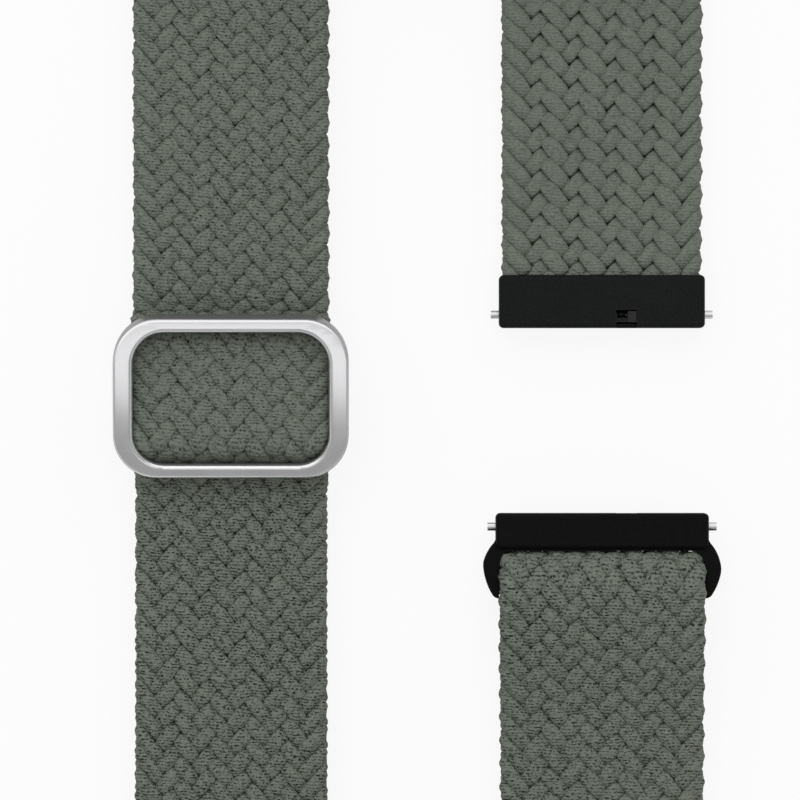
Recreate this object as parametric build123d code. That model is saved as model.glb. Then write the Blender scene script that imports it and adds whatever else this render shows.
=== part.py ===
"""Braided elastic watch strap with a metal slider and two quick-release connectors.

The strap lies on a table as a long open loop that leans over to the right. Its left side
lies flat with the outer face up and carries the slider. Its right side lies flat with the
inner face up and is open for the watch. At both ends of the loop the band stands on its
edge and turns back. X runs across the loop, Y along it and Z up, and the origin is on the
table in the middle of the loop. Lengths are in millimetres.
"""

from build123d import *
import os
from math import atan, cos, pi, radians, sin

os.makedirs("parts", exist_ok=True)

# The watch that the strap fits
lug_width = 20.0
watch_gap_top = 6.70
watch_gap_bottom = -10.51

# The loop, as it lies on the table
strip_spacing = 34.5
straight_end = 38.5
turn_lead = 8.0
roll_share = 0.4
turn_sections = 25

# The band
band_side_play = 0.9
band_thickness = 2.0
layer_gap = 0.1
profile_points = 15
slope_step = 0.01

# The slider
slider_y = 0.33
slider_travel = 12.0
window_side_play = 0.15
slider_side_rim = 1.675
slider_end_rim = 1.43
slider_corner_radius = 3.7
window_corner_radius = 2.3
slider_height = 2.0
slider_top_edge_radius = 0.45
slider_bottom_edge_radius = 0.25
slider_curve_radius = 30.0
slider_tilt = 8.0
rim_lift = 0.7
rim_shift = 0.5
cheek_length = 5.0
cheek_below_bar = 0.95
cheek_edge_radius = 0.5
slider_bar_diameter = 1.5
slider_bar_engagement = 1.0

# The band where it passes over the slider's bar
hump_length = 14.8
hump_tuck = 1.3
hump_rise = 2.9
hump_sharpness = 2.5

# The end of the band that is folded round the slider's bar and sewn to itself
fold_slack = 0.1
tail_thickness = 1.2
tail_length = 3.73
tail_level_length = 0.53
stitch_count = 8
stitch_length = 1.5
stitch_margin = 1.0
stitch_thread = 0.25
stitch_row = 2.2

# The connector that is fixed on the band's end
fixed_end_play = 0.425
fixed_depth = 4.93
fixed_wall = 0.75
fixed_edge_radius = 0.45
pocket_side_play = 0.1
pocket_height_play = 0.05
pocket_depth = 1.8
flex_zone_start = 11.8
flex_zone_length = 5.8

# The connector that the band loops through
loop_end_play = 0.1
loop_depth = 3.35
loop_height = 3.6
loop_edge_radius = 0.45
crossbar_radius = 0.9
crossbar_clearance = 0.2
fold_end_clearance = 0.24
ear_radius = 3.2
ear_thickness = 1.12
ear_ahead_of_bar = 1.5
ear_height = 2.6
ear_edge_radius = 0.4
loop_side_play = 0.75
loop_ramp_length = 12.8

# The quick-release spring bars
bar_setback = 1.25
tube_diameter = 1.5
tube_side_play = 0.1
tube_wall = 0.15
tube_end_inset = 0.075
tip_diameter = 0.8
tip_reach = 0.75
fixed_shank_length = 2.0
sliding_shank_clearance = 0.04
tip_withdrawal = 0.3
release_slot_depth = 1.67
release_slot_offset = 2.275
lever_side_gap = 0.05
lever_end_gap = 0.12
lever_stem_diameter = 0.5
lever_pad_width = 0.8
lever_pad_length = 1.0
lever_pad_height = 0.5
lever_recess = 0.15
shank_past_lever = 0.6
tube_slot_clearance = 0.05
spring_wire = 0.16
spring_side_gap = 0.05
spring_end_gap = 0.03
spring_turns = 10

# One overrun for every cut
cut_overrun = 1.0

# Sizes that follow from the ones above
band_width = lug_width - 2 * band_side_play
window_width = band_width + 2 * window_side_play
window_length = hump_length - 2 * hump_tuck
slider_width = window_width + 2 * slider_side_rim
slider_length = window_length + 2 * slider_end_rim
stitch_spacing = (band_width - 2 * stitch_margin - stitch_length) / (stitch_count - 1)
pocket_width = band_width + 2 * pocket_side_play
pocket_height = band_thickness + 2 * pocket_height_play
fixed_height = pocket_height + 2 * fixed_wall
loop_opening_width = band_width + 2 * loop_side_play
ear_width = loop_opening_width + 2 * ear_thickness
bar_bore_diameter = tube_diameter + 2 * tube_side_play
release_travel = tip_reach + tip_withdrawal
release_slot_width = lever_pad_width + release_travel + 2 * lever_side_gap

# Places that several pieces share
left_x = -strip_spacing / 2
right_x = strip_spacing / 2
layer_step = band_thickness + layer_gap
lower_layer_z = band_thickness / 2
upper_layer_z = lower_layer_z + layer_step
fixed_middle_z = fixed_height / 2
fixed_length = lug_width - 2 * fixed_end_play
loop_length = lug_width - 2 * loop_end_play
fixed_face_y = watch_gap_top + fixed_depth
loop_inner_face_y = watch_gap_bottom - loop_depth
fold_inner_radius = crossbar_radius + crossbar_clearance
fold_outer_radius = fold_inner_radius + band_thickness
crossbar_y = loop_inner_face_y - fold_end_clearance - fold_outer_radius
loop_middle_z = fold_outer_radius
loop_layer_z = loop_middle_z + fold_inner_radius + band_thickness / 2
slider_bar_radius = slider_bar_diameter / 2
slider_bar_z = band_thickness + fold_slack + slider_bar_radius
rim_above_bar = upper_layer_z + hump_rise + rim_lift - slider_bar_z
hump_bottom_y = slider_y - hump_length / 2
hump_top_y = slider_y + hump_length / 2
slide_zone_end = slider_travel + hump_top_y + layer_gap


def save(solid, node):
    """Write one sub-part under its own name."""
    export_step(solid, os.path.join("parts", node + ".step"))


def ease(share):
    """Rise from 0 to 1, level at both ends."""
    clipped = min(max(share, 0), 1)
    return clipped * clipped * (3 - 2 * clipped)


def flat_strip(strip_x, y_low, y_high, middle_z):
    """A straight flat length of the band."""
    middle_y = (y_low + y_high) / 2
    return Pos(strip_x, middle_y, middle_z) * Box(band_width, y_high - y_low, band_thickness)


def cross_prism(profile, strip_x, width):
    """Draw a face of Y and Z out along X, centred on a strip."""
    return extrude(Plane.YZ.offset(strip_x - width / 2) * profile, amount=width)


def curved_strip(strip_x, y_low, y_high, height_at):
    """A length of the band whose middle follows a height along Y."""
    half = band_thickness / 2
    above = []
    below = []
    for index in range(profile_points):
        y = y_low + (y_high - y_low) * index / (profile_points - 1)
        slope = (height_at(y + slope_step) - height_at(y - slope_step)) / (2 * slope_step)
        lean = atan(slope)
        above.append((y - half * sin(lean), height_at(y) + half * cos(lean)))
        below.append((y + half * sin(lean), height_at(y) - half * cos(lean)))
    outline = [
        Spline(*above),
        Line(above[-1], below[-1]),
        Spline(*reversed(below)),
        Line(below[0], above[0]),
    ]
    return cross_prism(make_face(outline), strip_x, band_width)


def turn_section(share, right_z, left_z, inset):
    """The band's cross-section at a share of the top turn, from the right round to the left."""
    radius = strip_spacing / 2
    arc_length = pi * radius
    travel = share * (2 * turn_lead + arc_length)
    angle = min(max(travel - turn_lead, 0), arc_length) / radius
    before = min(travel, turn_lead)
    after = max(travel - turn_lead - arc_length, 0)
    inward = Vector(-cos(angle), -sin(angle), 0)
    along = Vector(-sin(angle), cos(angle), 0)
    lean = radians(90) * (1 + ease((1 - share) / roll_share) - ease(share / roll_share))
    level = right_z if share < 1 / 2 else left_z
    middle_z = band_width / 2 * sin(lean) + level * abs(cos(lean))
    middle = Vector(0, straight_end + before - after, middle_z) - inward * radius
    across = inward * cos(lean) + Vector(0, 0, sin(lean))
    outward = Vector(0, 0, cos(lean)) - inward * sin(lean)
    place = Plane(origin=middle - outward * inset, x_dir=across, z_dir=along)
    return place * Rectangle(band_width, band_thickness)


def band_turn(right_z, left_z, inset):
    """A half turn of the band, which rolls onto its edge and on, over to its other face."""
    last = turn_sections - 1
    sections = [turn_section(index / last, right_z, left_z, inset) for index in range(turn_sections)]
    return loft(sections)


def make_top_turn():
    """The turn above the straight sides, one layer."""
    return band_turn(fixed_middle_z, upper_layer_z, 0)


def make_bottom_turn():
    """The turn below the straight sides, outer layer."""
    return mirror(band_turn(lower_layer_z, upper_layer_z, 0), about=Plane.XZ)


def make_bottom_return_turn():
    """The turn below the straight sides, inner layer, on its way back to the slider."""
    return mirror(band_turn(lower_layer_z, upper_layer_z, layer_step), about=Plane.XZ)


def hump_height(y):
    """Height of the band's middle where it rises over the slider's bar."""
    share = min(abs(y - slider_y) / (hump_length / 2), 1)
    return upper_layer_z + hump_rise * (1 - share**hump_sharpness) ** 2


def make_slider_hump():
    """The length of the band that bulges up through the slider's window."""
    return curved_strip(left_x, hump_bottom_y, hump_top_y, hump_height)


def make_bar_fold():
    """The band's other end: up round the slider's bar and back onto itself."""
    inner_radius = slider_bar_radius + fold_slack
    top_z = slider_bar_z + inner_radius + tail_thickness
    outer_radius = top_z / 2
    tail_bottom_z = top_z - tail_thickness
    rest_z = band_thickness + layer_gap
    tail_end_y = slider_y - tail_length
    tail_bend_y = slider_y - tail_level_length
    slope_points = [
        (tail_bend_y, top_z),
        (tail_end_y, rest_z + tail_thickness),
        (tail_end_y, rest_z),
        (tail_bend_y, tail_bottom_z),
    ]
    outline = [
        Line((hump_bottom_y, 0), (slider_y, 0)),
        ThreePointArc((slider_y, 0), (slider_y + outer_radius, outer_radius), (slider_y, top_z)),
        Polyline((slider_y, top_z), *slope_points, (slider_y, tail_bottom_z)),
        ThreePointArc(
            (slider_y, tail_bottom_z),
            (slider_y + inner_radius, slider_bar_z),
            (slider_y, slider_bar_z - inner_radius),
        ),
        Polyline(
            (slider_y, slider_bar_z - inner_radius),
            (hump_bottom_y, band_thickness),
            (hump_bottom_y, 0),
        ),
    ]
    return cross_prism(make_face(outline), left_x, band_width)


def make_tail_stitching():
    """A row of stitches through the folded tail and the band below it."""
    inner_radius = slider_bar_radius + fold_slack
    top_z = slider_bar_z + inner_radius + tail_thickness
    fall_share = (stitch_row - tail_level_length) / (tail_length - tail_level_length)
    fall = top_z - (band_thickness + layer_gap + tail_thickness)
    stitch_top = top_z - fall_share * fall + stitch_thread / 2
    stitch_bottom = stitch_thread
    height = stitch_top - stitch_bottom
    stitches = []
    for index in range(stitch_count):
        x = left_x + (index - (stitch_count - 1) / 2) * stitch_spacing
        loop = Rectangle(stitch_length, height) - Rectangle(
            stitch_length - 2 * stitch_thread, height - 2 * stitch_thread
        )
        middle = (x, slider_y - stitch_row - stitch_thread / 2, stitch_bottom + height / 2)
        place = Plane(origin=middle, x_dir=(1, 0, 0), z_dir=(0, -1, 0))
        stitches.append(extrude(place * loop, amount=stitch_thread).solid())
    return Compound(stitches)


def slider_place():
    """The slider's own frame, tilted about its bar."""
    return Pos(left_x, slider_y, slider_bar_z) * Rot(slider_tilt, 0, 0)


def widest_curve(solid, rank):
    """The round face of a solid whose radius is the largest, or the next largest."""
    return solid.faces().filter_by(GeomType.CYLINDER).sort_by(lambda face: face.radius)[-rank]


def make_slider_frame():
    """The metal frame: a rounded ring, curved like a wrist, with two cheeks for the bar."""
    outside = RectangleRounded(slider_width, slider_length, slider_corner_radius)
    window = RectangleRounded(window_width, window_length, window_corner_radius)
    shell_radius = slider_curve_radius + slider_height
    shell_length = slider_width + 2 * cut_overrun
    shell = Cylinder(shell_radius, shell_length) - Cylinder(slider_curve_radius, shell_length)
    shell = Pos(0, 0, -slider_curve_radius) * Rot(0, 90, 0) * shell
    ring = shell & extrude(outside - window, amount=slider_length, both=True)
    top_face = widest_curve(ring, 1)
    ring = fillet(top_face.edges(), slider_top_edge_radius)
    under_face = widest_curve(ring, 2)
    ring = fillet(under_face.edges(), slider_bottom_edge_radius)
    ring = Pos(0, rim_shift, rim_above_bar) * ring
    cheek_thickness = (slider_width - window_width) / 2
    cheek_height = rim_above_bar + slider_height / 2 + cheek_below_bar
    cheek_middle_z = cheek_height / 2 - cheek_below_bar
    cheek = Box(cheek_thickness, cheek_length, cheek_height)
    low_ends = cheek.edges().filter_by(Axis.X).group_by(Axis.Z)[0]
    cheek = fillet(low_ends, cheek_edge_radius)
    cheek_x = (window_width + cheek_thickness) / 2
    frame = ring + Pos(cheek_x, 0, cheek_middle_z) * cheek
    frame = frame + Pos(-cheek_x, 0, cheek_middle_z) * cheek
    bar_length = window_width + 2 * slider_bar_engagement
    bar_hole = Rot(0, 90, 0) * Cylinder(slider_bar_radius, bar_length)
    return slider_place() * (frame - bar_hole)


def make_slider_bar():
    """The steel bar across the slider, pressed into both cheeks."""
    bar_length = window_width + 2 * slider_bar_engagement
    return slider_place() * Rot(0, 90, 0) * Cylinder(slider_bar_radius, bar_length)


def bar_axis_place(bar_y, bar_z):
    """A place on a spring bar's axis, with the drawing's Z along X."""
    return Pos(right_x, bar_y, bar_z) * Rot(0, 90, 0)


def release_slot(outer_z, middle_z, free_face_y, inward_sign):
    """The cut in a connector that shows the lever, open to the free face."""
    depth = release_slot_depth + cut_overrun
    middle_y = free_face_y + inward_sign * (release_slot_depth - cut_overrun) / 2
    height = abs(outer_z - middle_z) + cut_overrun
    sign = 1 if outer_z > middle_z else -1
    slot = Box(release_slot_width, depth, height)
    return Pos(right_x + release_slot_offset, middle_y, middle_z + sign * height / 2) * slot


def make_fixed_connector():
    """The moulded block on the band's end, with its pocket, bore and lever slot."""
    middle_y = watch_gap_top + fixed_depth / 2
    block = Box(fixed_length, fixed_depth, fixed_height)
    block = fillet(block.edges(), fixed_edge_radius)
    block = Pos(right_x, middle_y, fixed_middle_z) * block
    pocket = Box(pocket_width, pocket_depth + cut_overrun, pocket_height)
    pocket_y = fixed_face_y - (pocket_depth - cut_overrun) / 2
    block = block - Pos(right_x, pocket_y, fixed_middle_z) * pocket
    bar_y = watch_gap_top + bar_setback
    bore = Cylinder(bar_bore_diameter / 2, fixed_length + 2 * cut_overrun)
    block = block - bar_axis_place(bar_y, fixed_middle_z) * bore
    return block - release_slot(fixed_height, fixed_middle_z, watch_gap_top, 1)


def ear_outline(side):
    """One ear of the loop connector, seen from above, on the left or the right."""
    middle_x = side * (ear_width / 2 - ear_radius)
    middle_y = crossbar_y + ear_ahead_of_bar
    ear = Pos(middle_x, middle_y) * Circle(ear_radius)
    opening = Pos(0, middle_y) * Rectangle(loop_opening_width, 2 * ear_radius)
    return ear - opening


def make_loop_connector():
    """The moulded block with two ears and a round crossbar for the band to go round."""
    middle_y = watch_gap_bottom - loop_depth / 2
    block = Box(loop_length, loop_depth, loop_height)
    block = fillet(block.edges(), loop_edge_radius)
    frame = Pos(0, middle_y, loop_middle_z) * block
    for side in (-1, 1):
        ear = extrude(ear_outline(side), amount=ear_height)
        ear = fillet(ear.edges().group_by(Axis.Z)[-1], ear_edge_radius)
        ear = fillet(ear.edges().group_by(Axis.Z)[0], ear_edge_radius)
        frame = frame + Pos(0, 0, loop_middle_z - ear_height / 2) * ear
    bar_length = (loop_opening_width + ear_width) / 2 - ear_edge_radius
    crossbar = Rot(0, 90, 0) * Cylinder(crossbar_radius, bar_length)
    frame = frame + Pos(0, crossbar_y, loop_middle_z) * crossbar
    frame = Pos(right_x, 0, 0) * frame
    bar_y = watch_gap_bottom - bar_setback
    bore = Cylinder(bar_bore_diameter / 2, loop_length + 2 * cut_overrun)
    frame = frame - bar_axis_place(bar_y, loop_middle_z) * bore
    slot = release_slot(loop_middle_z - loop_height / 2, loop_middle_z, watch_gap_bottom, -1)
    return frame - slot


def lever_middle():
    """Place of the lever along the bar, from the bar's middle, at rest."""
    slot_end = release_slot_offset + release_slot_width / 2
    return slot_end - lever_side_gap - lever_pad_width / 2


def sliding_shank_end():
    """Inner end of the sliding shank, from the bar's middle."""
    return lever_middle() - shank_past_lever


def make_bar_tube(connector_length, bar_y, bar_z, lever_sign):
    """The tube of a spring bar, with a slit for the lever."""
    length = connector_length - 2 * tube_end_inset
    tube = Cylinder(tube_diameter / 2, length) - Cylinder(tube_diameter / 2 - tube_wall, length)
    tube = bar_axis_place(bar_y, bar_z) * tube
    slit_width = lever_stem_diameter + 2 * tube_slot_clearance
    slit_length = slit_width + release_travel
    slit = Box(slit_length, slit_width, tube_diameter)
    slit_x = right_x + lever_middle() - release_travel / 2
    return tube - Pos(slit_x, bar_y, bar_z + lever_sign * tube_diameter / 2) * slit


def make_fixed_tip(connector_length, bar_y, bar_z):
    """The end pin that is pressed into the tube."""
    face = -connector_length / 2
    shank_end = face + tube_end_inset + fixed_shank_length
    shank = Cylinder(tube_diameter / 2 - tube_wall, fixed_shank_length)
    shank = Pos(0, 0, shank_end - fixed_shank_length / 2) * shank
    tip_length = tip_reach + tube_end_inset
    tip = Pos(0, 0, face + tube_end_inset - tip_length / 2) * Cylinder(tip_diameter / 2, tip_length)
    return bar_axis_place(bar_y, bar_z) * (shank + tip)


def make_sliding_tip(connector_length, bar_y, bar_z, lever_sign):
    """The end pin that the lever draws back into the tube."""
    face = connector_length / 2
    radius = tube_diameter / 2 - tube_wall - sliding_shank_clearance
    shank_start = sliding_shank_end()
    shank_length = face - tube_end_inset - shank_start
    shank = Pos(0, 0, shank_start + shank_length / 2) * Cylinder(radius, shank_length)
    tip_length = tip_reach + tube_end_inset
    tip = Pos(0, 0, face - tube_end_inset + tip_length / 2) * Cylinder(tip_diameter / 2, tip_length)
    pin = bar_axis_place(bar_y, bar_z) * (shank + tip)
    stem_hole = Cylinder(lever_stem_diameter / 2, tube_diameter)
    hole_z = bar_z + lever_sign * tube_diameter / 2
    return pin - Pos(right_x + lever_middle(), bar_y, hole_z) * stem_hole


def make_release_lever(bar_y, bar_z, outer_z, lever_sign, free_sign):
    """The small lever that a fingernail pushes along the slot."""
    pad_top = abs(outer_z - bar_z) - lever_recess
    pad_bottom = pad_top - lever_pad_height
    stem = Pos(0, 0, pad_bottom / 2) * Cylinder(lever_stem_diameter / 2, pad_bottom)
    pad = Box(lever_pad_width, lever_pad_length, lever_pad_height)
    pad_setback = release_slot_depth - lever_end_gap - lever_pad_length / 2
    pad_y = free_sign * lever_sign * (bar_setback - pad_setback)
    lever = stem + Pos(0, pad_y, pad_bottom + lever_pad_height / 2) * pad
    turned = Rot(0 if lever_sign > 0 else 180, 0, 0) * lever
    return Pos(right_x + lever_middle(), bar_y, bar_z) * turned


def make_bar_spring(connector_length, bar_y, bar_z):
    """The coil spring between the two end pins, inside the tube."""
    start = -connector_length / 2 + tube_end_inset + fixed_shank_length + spring_wire / 2 + spring_end_gap
    end = sliding_shank_end() - spring_wire / 2 - spring_end_gap
    bore_radius = tube_diameter / 2 - tube_wall
    coil_radius = bore_radius - spring_side_gap - spring_wire / 2
    height = end - start
    path = Helix(pitch=height / spring_turns, height=height, radius=coil_radius)
    section = Plane(origin=path @ 0, z_dir=path % 0) * Circle(spring_wire / 2)
    coil = sweep(section, path=path, is_frenet=True)
    return bar_axis_place(bar_y, bar_z) * Pos(0, 0, start) * coil


def loop_ramp_height(y):
    """Height of the band's middle as it comes down from the crossbar."""
    share = (crossbar_y - y) / loop_ramp_length
    return loop_layer_z + (upper_layer_z - loop_layer_z) * ease(share)


def make_loop_fold():
    """The half turn of the band round the crossbar."""
    top_z = loop_middle_z + fold_outer_radius
    inner_top_z = loop_middle_z + fold_inner_radius
    inner_bottom_z = loop_middle_z - fold_inner_radius
    bottom_z = loop_middle_z - fold_outer_radius
    outline = [
        ThreePointArc(
            (crossbar_y, bottom_z), (crossbar_y + fold_outer_radius, loop_middle_z), (crossbar_y, top_z)
        ),
        Line((crossbar_y, top_z), (crossbar_y, inner_top_z)),
        ThreePointArc(
            (crossbar_y, inner_top_z),
            (crossbar_y + fold_inner_radius, loop_middle_z),
            (crossbar_y, inner_bottom_z),
        ),
        Line((crossbar_y, inner_bottom_z), (crossbar_y, bottom_z)),
    ]
    return cross_prism(make_face(outline), right_x, band_width)


def make_loop_return_run():
    """The band on its way back from the crossbar, which comes down onto the other layer."""
    ramp_end_y = crossbar_y - loop_ramp_length
    ramp = curved_strip(right_x, ramp_end_y, crossbar_y, loop_ramp_height)
    return ramp + flat_strip(right_x, -straight_end, ramp_end_y, upper_layer_z)


def make_band_fixed_end():
    """The sealed end of the band, glued into the connector's pocket."""
    return flat_strip(right_x, fixed_face_y - pocket_depth, flex_zone_start, fixed_middle_z)


def save_band():
    """Write every length of the band."""
    flex_end = flex_zone_start + flex_zone_length
    slide_end_low = hump_bottom_y - slider_travel - layer_gap
    save(make_band_fixed_end(), "band_fixed_end")
    save(flat_strip(right_x, flex_zone_start, flex_end, fixed_middle_z), "band_flex_zone")
    save(flat_strip(right_x, flex_end, straight_end, fixed_middle_z), "band_fixed_run")
    save(make_top_turn(), "band_top_turn")
    save(flat_strip(left_x, slide_zone_end, straight_end, upper_layer_z), "band_upper_run")
    zone_low = hump_top_y + layer_gap
    save(flat_strip(left_x, zone_low, slide_zone_end, upper_layer_z), "band_upper_slide_zone")
    save(make_slider_hump(), "band_slider_hump")
    zone_high = hump_bottom_y - layer_gap
    save(flat_strip(left_x, slide_end_low, zone_high, upper_layer_z), "band_lower_slide_zone")
    save(flat_strip(left_x, -straight_end, slide_end_low, upper_layer_z), "band_lower_run")
    save(make_bottom_turn(), "band_bottom_turn")
    save(flat_strip(right_x, -straight_end, crossbar_y, lower_layer_z), "band_loop_outer_run")
    save(make_loop_fold(), "band_loop_fold")
    save(make_loop_return_run(), "band_loop_return_run")
    save(make_bottom_return_turn(), "band_bottom_return_turn")
    save(flat_strip(left_x, -straight_end, slide_end_low, lower_layer_z), "band_return_run")
    save(flat_strip(left_x, slide_end_low, zone_high, lower_layer_z), "band_return_slide_zone")
    save(make_bar_fold(), "band_bar_fold")
    save(make_tail_stitching(), "tail_stitching")


def save_spring_bar(name, connector_length, free_face_y, bar_z, outer_z):
    """Write the five pieces of one quick-release spring bar."""
    lever_sign = 1 if outer_z > bar_z else -1
    free_sign = 1 if name.startswith("loop") else -1
    bar_y = free_face_y - free_sign * bar_setback
    save(make_bar_tube(connector_length, bar_y, bar_z, lever_sign), name + "_tube")
    save(make_fixed_tip(connector_length, bar_y, bar_z), name + "_fixed_tip")
    save(make_sliding_tip(connector_length, bar_y, bar_z, lever_sign), name + "_sliding_tip")
    save(make_release_lever(bar_y, bar_z, outer_z, lever_sign, free_sign), name + "_release_lever")
    save(make_bar_spring(connector_length, bar_y, bar_z), name + "_spring")


save_band()
save(make_slider_frame(), "slider_frame")
save(make_slider_bar(), "slider_centre_bar")
save(make_fixed_connector(), "fixed_connector")
save_spring_bar("fixed_bar", fixed_length, watch_gap_top, fixed_middle_z, fixed_height)
save(make_loop_connector(), "loop_connector")
loop_under_z = loop_middle_z - loop_height / 2
save_spring_bar("loop_bar", loop_length, watch_gap_bottom, loop_middle_z, loop_under_z)
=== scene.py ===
import logging
import math
from dataclasses import dataclass, field
from enum import Enum
from functools import cached_property

import bmesh
import bpy
import numpy as np
from mathutils import Matrix, Vector


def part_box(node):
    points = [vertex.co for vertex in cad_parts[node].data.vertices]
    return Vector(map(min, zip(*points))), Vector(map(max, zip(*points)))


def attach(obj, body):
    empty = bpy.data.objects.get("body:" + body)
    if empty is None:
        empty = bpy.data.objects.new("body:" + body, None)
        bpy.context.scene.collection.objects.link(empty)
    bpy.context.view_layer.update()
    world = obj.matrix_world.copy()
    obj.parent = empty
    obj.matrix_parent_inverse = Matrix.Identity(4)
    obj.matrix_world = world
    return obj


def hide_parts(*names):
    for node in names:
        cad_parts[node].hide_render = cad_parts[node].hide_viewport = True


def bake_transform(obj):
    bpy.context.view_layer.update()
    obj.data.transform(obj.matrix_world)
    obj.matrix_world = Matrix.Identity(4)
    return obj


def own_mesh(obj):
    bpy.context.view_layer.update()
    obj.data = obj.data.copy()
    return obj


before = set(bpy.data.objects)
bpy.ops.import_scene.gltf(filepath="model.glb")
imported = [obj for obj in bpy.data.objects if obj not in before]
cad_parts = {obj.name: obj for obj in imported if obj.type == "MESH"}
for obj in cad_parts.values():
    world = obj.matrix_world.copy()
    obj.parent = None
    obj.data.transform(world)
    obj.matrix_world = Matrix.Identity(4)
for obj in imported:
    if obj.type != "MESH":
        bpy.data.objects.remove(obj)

LOG = logging.getLogger("strap")
MM = 0.001
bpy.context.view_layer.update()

Place = tuple[float, float, float]
Colour = tuple[float, float, float, float]
Wave = tuple[float, float, float]     # its size, and how fast it turns by row and by yarn

# Places that the source of the solids fixes, in millimetres.
LEFT_X, RIGHT_X = -17.25, 17.25
STRAIGHT_END = 38.5
TURN_LEAD, TURN_RADIUS, TURN_EDGE_Z = 8.0, 17.25, 9.1
ROLL_SHARE = 0.4
SLIDER_Y = 0.33
UPPER_Z, LOWER_Z, FIXED_Z = 3.1, 1.0, 1.8
LAYER_STEP = 2.1
GLUED_END_Y = 9.83
CROSSBAR_Y, CROSSBAR_TOP_Z, CROSSBAR_FOLD = -17.2, 5.2, 2.1
RETURN_SETTLES = 12.8
BAR_Z, BAR_FOLD = 2.65, 1.65
SEWN_TAIL = ((-0.2, 4.3), (-3.4, 2.7))
SEWN_THICKNESS = 0.62
FLEX_START, FLEX_END = 17.6, 11.8
HUMP_TOP, HUMP_BOTTOM = 7.2, -6.5

# How the band climbs through the slider: Y, and height over its level. It is smoothed over these numbers of steps.
CLIMB_STEP, CLIMB_SMOOTHING = 0.05, (20, 12)
CLIMB = ((-13.0, 0.0), (-7.2, 0.36), (-5.6, 0.66), (-4.3, 2.95), (-3.0, 3.15), (1.0, 3.05), (5.5, 2.8), (7.7, -0.3),
         (8.9, -0.3), (10.4, 0.0))


def metres(x: float, y: float, z: float) -> Place:
    """A place given in millimetres, in metres."""
    return x * MM, y * MM, z * MM


def linked(name: str, data: bpy.types.ID) -> bpy.types.Object:
    """A new object in the scene, at the origin.

    Args:
        name: its name.
        data: its mesh, lamp or other data.

    Returns:
        The object.
    """
    piece = bpy.data.objects.new(name, data)
    bpy.context.scene.collection.objects.link(piece)
    return piece


def new_curve(name: str, thickness: float = 0.0, resolution: int = 0) -> bpy.types.Curve:
    """Starts a curve in space.

    Args:
        name: its name.
        thickness: its thickness in millimetres, or 0 for no bevel.
        resolution: how finely it is rounded.

    Returns:
        The curve.
    """
    curve = bpy.data.curves.new(name, "CURVE")
    curve.dimensions = "3D"
    if thickness:
        curve.bevel_depth = thickness * MM / 2
        curve.bevel_resolution = resolution
    return curve


def swept(name: str, curve: bpy.types.Curve) -> bpy.types.Object:
    """A piece with the mesh that a curve and its bevel give.

    Args:
        name: the piece's name.
        curve: the curve.

    Returns:
        The piece.
    """
    drawn = linked(curve.name, curve)
    bpy.context.view_layer.update()
    mesh = bpy.data.meshes.new_from_object(drawn.evaluated_get(bpy.context.evaluated_depsgraph_get()))
    bpy.data.objects.remove(drawn)
    mesh.name = name
    return linked(name, mesh)


# ---------------------------------------------------------------- materials


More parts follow.
